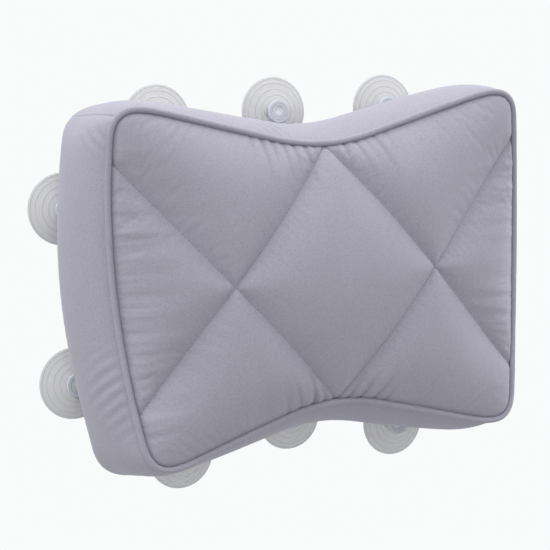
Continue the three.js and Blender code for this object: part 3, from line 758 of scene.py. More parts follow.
def strip_meshes(cover, quilt, seams):
    """The four strips of the boxed side: name, points, quads, and which points lie on a seam."""
    ends = seams.corners + [seams.corners[0] + seams.count]
    for name, start, end in zip(STRIPS, ends, ends[1:]):
        grid = side_strip(cover, seams, name, start, end, quilt.mesh)
        sewn = np.zeros(grid.shape[:2], bool)
        sewn[[0, -1]] = True
        sewn[:, [0, -1]] = True
        points = grid.reshape(-1, 3)
        quads = grid_quads(*grid.shape[:2])
        away = away_from(points, quads, (0, BACK_LOW.y / 2, 0)) * (1, 0, 1)
        yield name, points, outward_faces(points, quads, away), sewn.ravel()


# Swelling

# Steps from slack cloth to tight cloth, how much less the cloth resists shear than stretching, and a length
# that stands for no move.
SLACK_LEVELS = 24
SHEAR_EASE = 3
NO_MOVE = 1e-9


def swell(quilt, points, faces, held, slack):
    """Points of the cover after its filling has pressed the slack cloth out, with the seams held. It swells
    at a magnified size, because Blender's cloth is made for things of some metres. A point's move m becomes
    limit * tanh(m / limit)."""
    cloth = mesh_object("swelling", points * quilt.magnify, faces, None)
    pins = cloth.vertex_groups.new(name="held")
    pins.add(np.flatnonzero(held).tolist(), 1.0, "REPLACE")
    tight = cloth.vertex_groups.new(name="tight")
    levels = np.round(SLACK_LEVELS * (1 - slack / slack.max())).astype(int)
    for level in range(1, SLACK_LEVELS + 1):
        tight.add(np.flatnonzero(levels == level).tolist(), level / SLACK_LEVELS, "REPLACE")
    modifier = cloth.modifiers.new("cloth", "CLOTH")
    settings = modifier.settings
    settings.quality = quilt.quality
    settings.mass = quilt.mass
    settings.tension_stiffness = quilt.stiffness
    settings.compression_stiffness = quilt.stiffness
    settings.shear_stiffness = quilt.stiffness / SHEAR_EASE
    settings.bending_stiffness = quilt.bending
    settings.vertex_group_mass = "held"
    settings.vertex_group_shrink = "tight"
    settings.shrink_min = -float(slack.max())
    settings.shrink_max = 0
    settings.use_pressure = True
    settings.uniform_pressure_force = quilt.pressure
    settings.effector_weights.gravity = 0
    modifier.collision_settings.use_collision = False
    scene = bpy.context.scene
    for step in range(1, quilt.frames + 1):
        scene.frame_set(step)
    solved = cloth.evaluated_get(bpy.context.evaluated_depsgraph_get()).to_mesh()
    moved = np.empty(len(points) * 3, np.float32)
    solved.vertices.foreach_get("co", moved)
    scene.frame_set(1)
    bpy.data.objects.remove(cloth)
    shift = moved.reshape(-1, 3) / quilt.magnify - points
    size = np.maximum(np.linalg.norm(shift, axis=1, keepdims=True), NO_MOVE)
    return points + shift * quilt.swell_limit / size * np.tanh(size / quilt.swell_limit)


# Sharpness of the stitched valleys, and the strength of the painted shade on the cloth beside the piping.
STITCH_CREASE = 0.8
PIPING_SHADE = 0.9


def followed_by(values, rest, count):
    """Values of the face's points, followed by one value for each point of its underside."""
    return np.concatenate([values, np.full(count, rest)])


def crease_lines(piece, marked):
    """Keeps the edges between marked points sharp when the piece is rounded."""
    mesh = piece.data
    ends = np.empty(len(mesh.edges) * 2, np.int32)
    mesh.edges.foreach_get("vertices", ends)
    sharp = marked[ends.reshape(-1, 2)].all(1)
    attribute = mesh.attributes.new("crease_edge", "FLOAT", "EDGE")
    attribute.data.foreach_set("value", STITCH_CREASE * sharp.astype(np.float32))


class BATHPILLOW_OT_cover(bpy.types.Operator):
    """Make the quilted face and the four strips of the boxed side, swollen by their filling"""

    bl_idname = "bath_pillow.cover"
    bl_label = "Cover"

    def execute(self, context):
        pillow = context.scene.bath_pillow
        cover, quilt = pillow.cover, pillow.quilt
        seams = Seams(cover)
        panel = FacePanel(cover, quilt, seams)
        face = panel.lifted(cover, quilt)
        under, under_faces = pad_underside(face, panel.ring, len(face))
        sewn = np.minimum(panel.to_line, panel.to_edge) < ON_SEAM
        parts = [np.concatenate([face, under])]
        faces = [np.concatenate([panel.faces, under_faces[:, ::-1]])]
        held = [followed_by(sewn, True, len(under))]
        slack = [followed_by(panel.slack(cover, quilt), quilt.slack, len(under))]
        strips = list(strip_meshes(cover, quilt, seams))
        starts = []
        for _, places, quads, sewn in strips:
            starts.append(sum(len(part) for part in parts))
            parts.append(places)
            faces.append(triangles_of(quads) + starts[-1])
            held.append(sewn)
            slack.append(np.full(len(places), quilt.side_slack))
        points = np.concatenate(parts)
        points = swell(
            quilt, points, np.concatenate(faces), np.concatenate(held), np.concatenate(slack)
        )
        tucks = panel.tucks(cover, quilt)
        points[: len(face), 1] += quilt.tuck_depth * tucks - panel.puckers(cover, quilt)
        velvet = velvet_material("velvet", pillow.finish.velvet)
        pad = mesh_object("quilted_face", points[: len(parts[0])], faces[0], velvet)
        crease_lines(pad, followed_by(panel.to_line < ON_SEAM, False, len(under)))
        # Painted shade: the tuck attribute darkens the velvet in the tucks and beside the piping, where the
        # folds and the seam shade it.
        closed = np.maximum(tucks, PIPING_SHADE * np.exp(-((panel.to_edge / quilt.tuck_width) ** 2)))
        point_attribute(pad, "tuck", followed_by(np.clip(closed, 0, 1), 0, len(under)))
        refine(pad)
        settle(pad, "pillow", "cover_cloth", "front_panel", "wadding", "foam_core")
        for start, (name, places, quads, _) in zip(starts, strips):
            swollen = points[start:start + len(places)]
            strip = mesh_object(name.replace("gusset", "side_strip"), swollen, quads, velvet)
            refine(strip)
            shell(strip, cover.cloth)
            settle(strip, "pillow", "cover_cloth", name)
        return {"FINISHED"}


# Piping

# Its sides, the distance of its rings in radii, and its ripples: their height as a share of the radius, their
# reach and their seed.
PIPING_SIDES = 16
PIPING_STEP = 0.8
PIPING_RIPPLE = 0.035
RIPPLE_NOISE = 0.006
RIPPLE_SEED = 5


def piping_tube(cover, seams):
    """Round tube along the front seam, as a grid (along, around): centre + r (cos a outward + sin a back),
    with a radius that swells and pinches slightly where the cloth is eased round the cord."""
    loop = spaced_loop(seams.front, cover.piping_radius * PIPING_STEP)
    run = np.roll(loop, -1, 0) - np.roll(loop, 1, 0)
    run /= np.linalg.norm(run, axis=1, keepdims=True)
    outward = np.cross(run, BACKWARD)
    outward /= np.linalg.norm(outward, axis=1, keepdims=True)
    lift = np.cross(outward, run)
    turn = np.linspace(0, 2 * math.pi, PIPING_SIDES, endpoint=False)
    ripple = 1 + PIPING_RIPPLE * smooth_noise(loop, RIPPLE_NOISE, RIPPLE_SEED)
    ring = np.cos(turn)[:, None] * outward[:, None] + np.sin(turn)[:, None] * lift[:, None]
    return loop[:, None] + ring * (cover.piping_radius * ripple)[:, None, None]


class BATHPILLOW_OT_piping(bpy.types.Operator):
    """Make the piping round the front edge"""

    bl_idname = "bath_pillow.piping"
    bl_label = "Piping"

    def execute(self, context):
        pillow = context.scene.bath_pillow
        points = piping_tube(pillow.cover, Seams(pillow.cover))
        rows, columns = points.shape[:2]
        quads = grid_quads(rows + 1, columns, closed=True) % (rows * columns)
        flat = points.reshape(-1, 3)
        middle = np.repeat(points.mean(1), columns, 0)
        quads = outward_faces(flat, quads, flat[quads].mean(1) - middle[quads].mean(1))
        tube = mesh_object("piping", flat, quads, velvet_material("piping_velvet", pillow.finish.piping))
        refine(tube)
        settle(tube, "pillow", "cover_cloth", "piping_sleeve", "piping_cord")
        return {"FINISHED"}


# Back panel

# Sizes of its rings, from the middle to the edge and closer together next to the seam.
BACK_RINGS = np.concatenate([np.linspace(0.04, 0.9, 22), np.linspace(0.92, 1, 9)])

# Its slight waves: height, reach, most height and seed, and the drop of its middle point.
BACK_WAVE = 0.00018
BACK_NOISE = 0.022
BACK_WAVE_LIMIT = 0.0006
BACK_SEED = 8
BACK_MIDDLE_DROP = 0.0003


def back_surface(cover, seams):
    """Points and triangles of the back panel: the back seam drawn in, ring by ring, to a middle point, with
    slight smooth waves, and pulled in by exp(-distance / reach) at the seam."""
    edge = seams.back - cover.seam_tuck * seams.outward
    points = edge * BACK_RINGS[:, None, None]
    inset = (1 - BACK_RINGS)[:, None] * np.linalg.norm(edge[:, [0, 2]], axis=1)
    tuck = cover.seam_tuck * np.exp(-inset / cover.seam_reach)
    wave = BACK_WAVE * (1 + smooth_noise(points[..., [0, 2]], BACK_NOISE, BACK_SEED))
    points[..., 1] = BACK_HIGH.y - tuck - np.clip(wave, 0, BACK_WAVE_LIMIT)
    rows, columns = points.shape[:2]
    flat = np.concatenate([points.reshape(-1, 3), [(0, BACK_HIGH.y - BACK_MIDDLE_DROP, 0)]])
    ring = np.arange(columns)
    fan = np.stack([ring, np.roll(ring, -1), np.full(columns, rows * columns)], -1)
    quads = grid_quads(rows, columns, closed=True)
    faces = np.concatenate([triangles_of(quads), fan[:, ::-1]])
    return flat, outward_faces(flat, faces, BACKWARD)


class BATHPILLOW_OT_back_panel(bpy.types.Operator):
    """Make the back panel"""

    bl_idname = "bath_pillow.back_panel"
    bl_label = "Back panel"

    def execute(self, context):
        pillow = context.scene.bath_pillow
        seams = Seams(pillow.cover)
        points, faces = back_surface(pillow.cover, seams)
        panel = mesh_object("back_cloth", points, faces, velvet_material("velvet", pillow.finish.velvet))
        shell(panel, pillow.cover.cloth)
        settle(panel, "pillow", "cover_cloth", "back_panel")
        x, z = seams.back[:, 0], seams.back[:, 2]
        area = abs(np.sum(x * np.roll(z, -1) - z * np.roll(x, -1))) / 2
        return {"FINISHED"}


# Stitches

# Rows and sides of a stitch, the quads that close an end, and how blunt that end is.
STITCH_ROWS = 7
STITCH_SIDES = 8
STITCH_CAP = np.array([[3, 2, 1, 0], [7, 6, 5, 4], [0, 7, 4, 3]])
STITCH_BLUNT = 0.04

# How far the middle of a thread lies over the cloth and over a tab, in radii of the thread.
THREAD_OVER_CLOTH = 0.2
THREAD_OVER_TAB = 0.3


def stitches(centres, along, up, quilt):
    """Short rounded threads: for each centre a round body stretched along the seam, with a radius of
    r sqrt(1 - |v|^3) at v from -1 to 1. Gives the points and quads of all of them."""
    across = np.cross(along, up)
    v = np.linspace(-1, 1, STITCH_ROWS)
    turn = np.linspace(0, 2 * math.pi, STITCH_SIDES, endpoint=False)
    waist = quilt.thread_radius * np.sqrt(np.clip(1 - np.abs(v) ** 3, STITCH_BLUNT, 1))
    side = np.cos(turn)[:, None] * across[:, None] + np.sin(turn)[:, None] * up[:, None]
    body = along[:, None, None] * (quilt.stitch_length / 2 * v)[:, None, None]
    points = centres[:, None, None] + body + side[:, None] * waist[:, None, None]
    quads = grid_quads(STITCH_ROWS, STITCH_SIDES, closed=True)
    far_cap = STITCH_CAP[:, ::-1] + (STITCH_ROWS - 1) * STITCH_SIDES
    one = np.concatenate([quads, STITCH_CAP, far_cap])
    faces = one + np.arange(len(centres))[:, None, None] * STITCH_ROWS * STITCH_SIDES
    return points.reshape(-1, 3), faces.reshape(-1, 4)


class BATHPILLOW_OT_quilting_thread(bpy.types.Operator):
    """Make the stitches along the four lines of the quilting"""

    bl_idname = "bath_pillow.quilting_thread"
    bl_label = "Quilting thread"

    def execute(self, context):
        pillow = context.scene.bath_pillow
        cover, quilt = pillow.cover, pillow.quilt
        centres, runs = [], []
        for start, end in stitch_lines(quilt, panel_edge(cover, Seams(cover))):
            count = round(np.linalg.norm(end - start) / quilt.stitch_pitch)
            part = np.arange(1, count)[:, None] / count
            places = start + part * (end - start)
            points = face_points(cover, places[:, 0], places[:, 1], quilt.valley_crown)
            centres.append(points)
            runs.append(np.gradient(points, axis=0))
        centres, along = np.concatenate(centres), np.concatenate(runs)
        along /= np.linalg.norm(along, axis=1, keepdims=True)
        up = np.broadcast_to(-BACKWARD, along.shape)
        up = up - np.sum(up * along, 1, keepdims=True) * along
        up /= np.linalg.norm(up, axis=1, keepdims=True)
        points, faces = stitches(centres + up * THREAD_OVER_CLOTH * quilt.thread_radius, along, up, quilt)
        twist = finished("thread", thread_nodes, pillow.finish.thread)
        thread = mesh_object("quilting_thread", points, faces, twist)
        settle(thread, "pillow", "cover_cloth")
        return {"FINISHED"}


# Suction cups


def cup_centre(name):
    """Middle of a cup's rim."""
    low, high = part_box(CUP_PREFIX + name)
    return Vector(((low.x + high.x) / 2, high.y, (low.z + high.z) / 2))


# Sides of a cup, and rows of its half section on the head, a round edge, the bell, the hollow and the roof.
CUP_SIDES = 96
HEAD_ROWS = 34
EDGE_ROWS = 10
BELL_ROWS = 84
HOLLOW_ROWS = 24
ROOF_ROWS = 10

# Moulded rings of the bell and of the head, as shares of their radius, and the share of the rings' painted
# shade that the rim gets.
RIDGES = (0.485, 0.65, 0.83, 0.955)
HEAD_RINGS = (0.45, 0.71)
RIM_SHADE = 0.6


def section(radius, depth, ring=0.0, thick=0.0, spot=0.0):
    """Rows of a half section: radius, depth from the wall, and shares of moulded ring, thickness and
    dimple."""
    return np.stack(np.broadcast_arrays(radius, depth, ring, thick, spot), -1)


def rings_at(radius, places, width):
    """Moulded rings over a radius: a bell curve at each place."""
    return sum(np.exp(-(((radius - place) / width) ** 2)) for place in places)


def cup_profile(cup):
    """Half section of a cup, as rows of section(): button head with two rings and a dimple, neck, bell with
    moulded rings, round rim and hollow side."""
    edge = cup.round_edge
    head = np.linspace(0, cup.head_radius - edge, HEAD_ROWS)
    head_ring = rings_at(head, cup.head_radius * np.array(HEAD_RINGS), cup.ring_width)
    dimple = np.exp(-((head / cup.dimple_radius) ** 2))
    flat = cup.head_front - cup.ridge
    turn = np.linspace(math.pi / 2, -math.pi / 2, EDGE_ROWS)
    outer = edge * np.cos(turn)
    half = (flat - cup.head_back) / 2
    bell = np.linspace(cup.crown_radius, cup.radius - edge, BELL_ROWS)
    fall = (bell - cup.crown_radius) / (cup.radius - cup.crown_radius)
    bell_ring = rings_at(bell, cup.radius * np.array(RIDGES), cup.ring_width)
    bell_depth = cup.height + (cup.lip - cup.height) * fall + cup.ridge * bell_ring
    hollow = np.linspace(cup.radius - cup.lip, cup.crown_radius, HOLLOW_ROWS)
    climb = (hollow[0] - hollow) / (hollow[0] - hollow[-1])
    roof = cup.height - cup.wall
    return np.concatenate([
        section(head, flat + cup.ridge * head_ring - cup.dimple_depth * dimple, head_ring, 1, dimple),
        section(cup.head_radius - edge + outer, cup.head_back + half * (1 + np.sin(turn)), 0, 1)[1:],
        section(cup.neck_radius, np.array([cup.head_back, cup.height]), 0, 1),
        section(bell, bell_depth, bell_ring),
        section(cup.radius - edge + outer, cup.lip / 2 * (1 + np.sin(turn)), RIM_SHADE)[1:],
        section(hollow, roof * climb)[1:],
        section(np.linspace(cup.crown_radius, 0, ROOF_ROWS)[1:], roof),
    ])


def turned(profile, centre):
    """A half section turned about the Y axis through a centre, closed at both poles."""
    turn = np.linspace(0, 2 * math.pi, CUP_SIDES, endpoint=False)
    body = profile[1:-1]
    x = centre.x + body[:, :1] * np.cos(turn)
    z = centre.z + body[:, :1] * np.sin(turn)
    y = np.broadcast_to(centre.y - body[:, 1:], x.shape)
    points = np.stack([x, y, z], -1).reshape(-1, 3)
    poles = [(centre.x, centre.y - profile[i, 1], centre.z) for i in (0, -1)]
    count = len(points)
    quads = triangles_of(grid_quads(len(body), CUP_SIDES, closed=True))
    ring = np.arange(CUP_SIDES)
    last = ring + count - CUP_SIDES
    near = np.stack([np.roll(ring, -1), ring, np.full(CUP_SIDES, count)], -1)
    far = np.stack([last, np.roll(last, -1), np.full(CUP_SIDES, count + 1)], -1)
    faces = np.concatenate([quads, near, far])
    points = np.concatenate([points, poles])
    corners = points[faces] - points.mean(0)
    volume = np.sum(corners[:, 0] * np.cross(corners[:, 1], corners[:, 2]))
    return points, faces if volume > 0 else faces[:, ::-1]


class BATHPILLOW_OT_suction_cups(bpy.types.Operator):
    """Make the clear suction cups"""

    bl_idname = "bath_pillow.suction_cups"
    bl_label = "Suction cups"

    def execute(self, context):
        pillow = context.scene.bath_pillow
        vinyl = finished("soft_vinyl", vinyl_nodes, pillow.finish)
        profile = cup_profile(pillow.cup)
        for name in CUPS:
            points, faces = turned(profile[:, :2], cup_centre(name))
            cup = mesh_object("clear_cup_" + name, points, faces, vinyl)
            # Attributes for the vinyl's colour: painted shade on the rings and the rim, the lightened head
            # and neck, and a painted highlight in the dimple.
            for label, values in zip(("ring", "thick", "dimple"), profile[:, 2:].T):
                rows = np.repeat(values[1:-1], CUP_SIDES)
                point_attribute(cup, label, np.concatenate([rows, values[[0, -1]]]))
            settle(cup, "cup_" + name, "clear_vinyl", CUP_PREFIX + name)
        return {"FINISHED"}


# Tabs

# Room round the neck in the eye, radius of the foot's corners, length of the stretches with close rows at
# both ends of the foot, the tab's least width, and the gap that is closed down its middle.
EYE_CLEARANCE = 0.0003
TAB_ROUND = 0.003
CLOSE_STRETCH = 0.0032
LEAST_WIDTH = 1e-5
WELD_GAP = 0.00002

# Rows of a tab about its eye, on its foot and at its end, its columns on each side, and its stitches.
EYE_ROWS = 110
FOOT_ROWS = 26
END_ROWS = 12
TAB_COLUMNS = 7
TAB_STITCHES = np.arange(-2.5, 3)


def half_chord(radius, s):
    """Half width of a circle at a distance s from its middle: sqrt(r^2 - s^2), and 0 outside."""
    return np.sqrt(np.clip(radius**2 - s**2, 0, None))


def tab_half_widths(cup, s):
    """Half width of the neck's hole and of the tab at a distance s from the neck towards the pillow: the
    round eye, the two ears, the waist and the foot with rounded shoulders."""
    half_ear = cup.ear_width / 2
    ear = np.where(np.abs(s) < half_ear, cup.ear_reach - half_ear + half_chord(half_ear, s), 0)
    waist = np.where(s > 0, cup.tab_waist, 0)
    into = np.clip(np.minimum(s - cup.shoulder, cup.tab_end - s), 0, TAB_ROUND)
    corner = TAB_ROUND - half_chord(TAB_ROUND, TAB_ROUND - into)
    foot = np.where(s >= cup.shoulder, cup.tab_half_width - corner, 0)
    hole = half_chord(cup.neck_radius + EYE_CLEARANCE, s)
    return hole, np.maximum.reduce([half_chord(cup.eye_radius, s), ear, waist, foot])


def tab_depth(cup, s):
    """Depth of the tab's middle from the wall: level about the neck, then a smooth step to the back panel."""
    part = np.clip((s - cup.shoulder) / (cup.bend_end - cup.shoulder), 0, 1)
    step = part * part * (3 - 2 * part)
    return cup.tab_top + cup.tab_thickness / 2 + step * (cup.tab_foot - cup.tab_top)


def tab_halves(cup, centre, inward):
    """Both halves of a tab as grids (along, across), each from the hole or the middle out to the edge."""
    eye_end, foot_end = cup.shoulder + CLOSE_STRETCH, cup.tab_end - CLOSE_STRETCH
    s = np.concatenate([
        np.linspace(-cup.eye_radius, eye_end, EYE_ROWS),
        np.linspace(eye_end, foot_end, FOOT_ROWS)[1:],
        np.linspace(foot_end, cup.tab_end, END_ROWS)[1:],
    ])
    hole, edge = tab_half_widths(cup, s)
    part = np.linspace(0, 1, TAB_COLUMNS)
    w = hole[:, None] + (np.maximum(edge, hole + LEAST_WIDTH) - hole)[:, None] * part
    y = np.broadcast_to(centre.y - tab_depth(cup, s)[:, None], w.shape)
    grids = []
    for side in (-1, 1):
        x = centre.x + inward[0] * s[:, None] - inward[1] * side * w
        z = centre.z + inward[1] * s[:, None] + inward[0] * side * w
        grids.append(np.stack([x, y, z], -1))
    return grids


class BATHPILLOW_OT_eyelet_tabs(bpy.types.Operator):
    """Make the clear tabs, stepped from the neck down to the back panel, and the stitches that hold them"""

    bl_idname = "bath_pillow.eyelet_tabs"
    bl_label = "Eyelet tabs"

    def execute(self, context):
        pillow = context.scene.bath_pillow
        cup, quilt = pillow.cup, pillow.quilt
        vinyl = finished("soft_vinyl", vinyl_nodes, pillow.finish)
        thread = finished("thread", thread_nodes, pillow.finish.thread)
        for name in CUPS:
            centre = cup_centre(name)
            inward = TO_PILLOW[name.split("_")[0]]
            points, faces = [], []
            for grid in tab_halves(cup, centre, inward):
                rows, columns = grid.shape[:2]
                flat = grid.reshape(-1, 3)
                quads = outward_faces(flat, grid_quads(rows, columns), BACKWARD)
                faces.append(quads + len(points) * rows * columns)
                points.append(flat)
            tab = mesh_object("clear_tab_" + name, np.concatenate(points), np.concatenate(faces), vinyl)
            join = tab.modifiers.new("join", "WELD")
            join.merge_threshold = WELD_GAP
            shell(tab, cup.tab_thickness, 0.0)
            across = np.array([-inward[1], 0, inward[0]], float)
            along = np.array([inward[0], 0, inward[1]], float)
            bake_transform(tab)
            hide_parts("eyelet_tab_" + name)
            places = TAB_STITCHES * quilt.stitch_pitch
            row = np.array(centre) + (cup.tab_end - cup.sewn_row) * along + places[:, None] * across
            row[:, 1] = centre.y - cup.tab_foot + THREAD_OVER_TAB * quilt.thread_radius
            run, up = (np.broadcast_to(way, row.shape) for way in (across, BACKWARD))
            points, faces = stitches(row, run, up, quilt)
            sewn = mesh_object("tab_thread_" + name, points, faces, thread)
            settle(sewn, "pillow", "cover_cloth")
        return {"FINISHED"}


# Materials

# Sockets of a Mix node that mixes colours.
MIX_FROM = 6
MIX_TO = 7
MIX_RESULT = 2


def set_values(made, **values):
    """Sets a node's plain values and the defaults of its named sockets, with _ for a space in a name."""
    for key, value in values.items():
        if hasattr(made, key):
            setattr(made, key, value)
        else:
            made.inputs[key.replace("_", " ")].default_value = value
    return made


def node(tree, kind, at, **values):
    """Adds a node and sets its values."""
    made = tree.nodes.new(kind)
    made.location = at
    return set_values(made, **values)


def wire(tree, *pairs):
    """Links pairs of an output and an input."""
    for start, end in pairs:
        tree.links.new(start, end)


def tint_by(tree, at, label, base, tint):
    """A mix from a base colour to a tint by a piece's own attribute."""
    x, y = at
    mask = node(tree, "ShaderNodeAttribute", (x - 250, y), attribute_name=label)
    mixed = node(tree, "ShaderNodeMix", at, data_type="RGBA")
    mixed.inputs[MIX_FROM].default_value = (*base, 1)
    mixed.inputs[MIX_TO].default_value = (*tint, 1)
    wire(tree, (mask.outputs["Fac"], mixed.inputs[0]))
    return mixed


def finished(name, lay_nodes, *values):
    """The material of a name. The first time, it is made and a function lays its nodes."""
    material = bpy.data.materials.get(name)
    if material is None:
        material = bpy.data.materials.new(name)
        material.use_nodes = True
        lay_nodes(material.node_tree, *values)
    return material


def nap_group():
    """Velvet nap: broad brushed patches and fine grain over a colour, with a height for the bump. The colour
    is multiplied by 1 + patches * (broad noise - 0.5) + grain * (fine noise - 0.5)."""
    found = bpy.data.node_groups.get("nap")
    if found:
        return found
    group = bpy.data.node_groups.new("nap", "ShaderNodeTree")
    sockets = (("Colour", "INPUT", "Color"), ("Patches", "INPUT", "Float"), ("Grain", "INPUT", "Float"))
    sockets += (("Colour", "OUTPUT", "Color"), ("Height", "OUTPUT", "Float"))
    for name, way, kind in sockets:
        group.interface.new_socket(name, in_out=way, socket_type="NodeSocket" + kind)
    given = node(group, "NodeGroupInput", (-900, 0))
    out = node(group, "NodeGroupOutput", (700, 0))
    places = node(group, "ShaderNodeTexCoord", (-1100, -200))
    broad = node(group, "ShaderNodeTexNoise", (-700, 100), Scale=26.0, Detail=3.0, Roughness=0.55)
    fine = node(group, "ShaderNodeTexNoise", (-700, -200), Scale=850.0, Detail=3.0, Roughness=0.8)
    total = node(group, "ShaderNodeMath", (-50, 0), operation="ADD")
    for row, (noise, strength) in enumerate(((broad, "Patches"), (fine, "Grain"))):
        centred = node(group, "ShaderNodeMath", (-450, 100 - 300 * row), operation="SUBTRACT")
        centred.inputs[1].default_value = 0.5
        scaled = node(group, "ShaderNodeMath", (-250, 100 - 300 * row), operation="MULTIPLY")
        wire(
            group,
            (places.outputs["Object"], noise.inputs["Vector"]),
            (noise.outputs["Fac"], centred.inputs[0]),
            (centred.outputs[0], scaled.inputs[0]),
            (given.outputs[strength], scaled.inputs[1]),
            (scaled.outputs[0], total.inputs[row]),
        )
    factor = node(group, "ShaderNodeMath", (120, 0), operation="ADD")
    factor.inputs[1].default_value = 1.0
    tinted = node(group, "ShaderNodeVectorMath", (320, 60), operation="SCALE")
    wire(
        group,
        (total.outputs[0], factor.inputs[0]),
        (given.outputs["Colour"], tinted.inputs[0]),
        (factor.outputs[0], tinted.inputs["Scale"]),
        (tinted.outputs[0], out.inputs["Colour"]),
        (fine.outputs["Fac"], out.inputs["Height"]),
    )
    return group


# Brightness of the velvet under its painted shade, in the tucks and beside the piping.
PAINTED_SHADE = 0.7


def velvet_nodes(tree, base):
    """Soft short-napped velvet: matt, with a sheen at grazing angles and a fine napped bump, and with painted
    shade: darker where the tuck attribute marks a tuck or the cloth beside the piping."""
    shader = set_values(
        tree.nodes["Principled BSDF"],
        Roughness=0.95,
        Specular_IOR_Level=0.15,
        Sheen_Weight=0.38,
        Sheen_Roughness=0.45,
        Sheen_Tint=(0.86, 0.84, 0.95, 1),
    )
    # Painted shade: darker velvet where the tuck attribute marks tucks and the cloth beside the piping.
    shaded = tint_by(tree, (-730, 100), "tuck", base, [PAINTED_SHADE * part for part in base])
    nap = node(tree, "ShaderNodeGroup", (-500, 100), node_tree=nap_group(), Patches=0.10, Grain=0.74)
    bump = node(tree, "ShaderNodeBump", (-250, -150), Strength=0.25, Distance=0.0004)
    wire(
        tree,
        (shaded.outputs[MIX_RESULT], nap.inputs["Colour"]),
        (nap.outputs["Colour"], shader.inputs["Base Color"]),
        (nap.outputs["Height"], bump.inputs["Height"]),
        (bump.outputs["Normal"], shader.inputs["Normal"]),
    )


def velvet_material(name, base):
    """The velvet of a colour."""
    return finished(name, velvet_nodes, base)


def thread_nodes(tree, base):
    """Matt thread with a fine grain of light and dark fibres."""
    shader = set_values(tree.nodes["Principled BSDF"], Roughness=0.7)
    nap = node(
        tree, "ShaderNodeGroup", (-500, 100), node_tree=nap_group(), Colour=(*base, 1), Patches=0.0, Grain=0.5
    )
    wire(tree, (nap.outputs["Colour"], shader.inputs["Base Color"]))


def vinyl_nodes(tree, finish):
    """Clear soft vinyl, bluer where it is thick, with faint flow marks in its gloss. Its colour also holds
    painted light: a lightened head and neck, painted shade on the moulded rings and the rim, and a painted
    highlight in the head's dimple.
    """
    shader = set_values(tree.nodes["Principled BSDF"], IOR=1.3, Transmission_Weight=0.35)
    tints = (("thick", finish.thick_lightened), ("ring", finish.ring_shade), ("dimple", finish.dimple_highlight))
    before = None
    for row, (label, tint) in enumerate(tints):
        mixed = tint_by(tree, (-850 + 200 * row, 600 - 200 * row), label, finish.vinyl, tint)
        if before:
            wire(tree, (before.outputs[MIX_RESULT], mixed.inputs[MIX_FROM]))
        before = mixed
    places = node(tree, "ShaderNodeTexCoord", (-950, -100))
    flow = node(tree, "ShaderNodeTexNoise", (-700, -100), Scale=140.0, Detail=2.0)
    gloss = node(tree, "ShaderNodeMapRange", (-450, -100), To_Min=0.12, To_Max=0.30)
    wire(
        tree,
        (before.outputs[MIX_RESULT], shader.inputs["Base Color"]),
        (places.outputs["Object"], flow.inputs["Vector"]),
        (flow.outputs["Fac"], gloss.inputs["Value"]),
        (gloss.outputs["Result"], shader.inputs["Roughness"]),
    )


# Stage

WHITE = (0.947, 0.965, 0.965, 1)
MATT_GREY = (0.45, 0.45, 0.45, 1)

# Share of plain white in the floor as the camera sees it, and where that share starts and ends to rise, in
# drops and in half widths of the floor.
FLOOR_WHITE = 0.8
FADE_START = 1.1
FADE_END = 0.95

# Place and size of each softbox.
SOFTBOXES = {
    "overhead": ((-0.30, -0.25, 1.6), 2.0),
    "left": ((-1.3, -0.15, 0.35), 1.0),
    "right": ((1.3, -0.15, 0.35), 1.0),
}
SENSOR_WIDTH = 36


def backdrop_world(stage):
    """Light from all round, stronger from above, seen as plain white by the camera and in clear pieces."""
    world = bpy.data.worlds.new("backdrop")
    world.use_nodes = True
    tree = world.node_tree
    light = set_values(tree.nodes["Background"], Color=(1, 1, 1, 1))
    towards = node(tree, "ShaderNodeTexCoord", (-900, -100))
    parts = node(tree, "ShaderNodeSeparateXYZ", (-700, -100))
    level = node(
        tree,
        "ShaderNodeMapRange",
        (-500, -100),
        From_Min=-1.0,
        From_Max=1.0,
        To_Min=stage.ambient * (1 - stage.ambient_slope),
        To_Max=stage.ambient * (1 + stage.ambient_slope),
    )
    seen = node(tree, "ShaderNodeBackground", (0, -200), Color=WHITE)
    path = node(tree, "ShaderNodeLightPath", (-600, 200))
    camera = node(tree, "ShaderNodeMath", (-350, 200), operation="MAXIMUM")
    clear = node(tree, "ShaderNodeMath", (-150, 200), operation="MAXIMUM")
    mixed = node(tree, "ShaderNodeMixShader", (200, 0))
    wire(
        tree,
        (towards.outputs["Object"], parts.inputs[0]),
        (parts.outputs["Z"], level.inputs["Value"]),
        (level.outputs["Result"], light.inputs["Strength"]),
        (path.outputs["Is Camera Ray"], camera.inputs[0]),
        (path.outputs["Is Glossy Ray"], camera.inputs[1]),
        (camera.outputs[0], clear.inputs[0]),
        (path.outputs["Is Transmission Ray"], clear.inputs[1]),
        (clear.outputs[0], mixed.inputs[0]),
        (light.outputs[0], mixed.inputs[1]),
        (seen.outputs[0], mixed.inputs[2]),
        (mixed.outputs[0], tree.nodes["World Output"].inputs["Surface"]),
    )
    return world


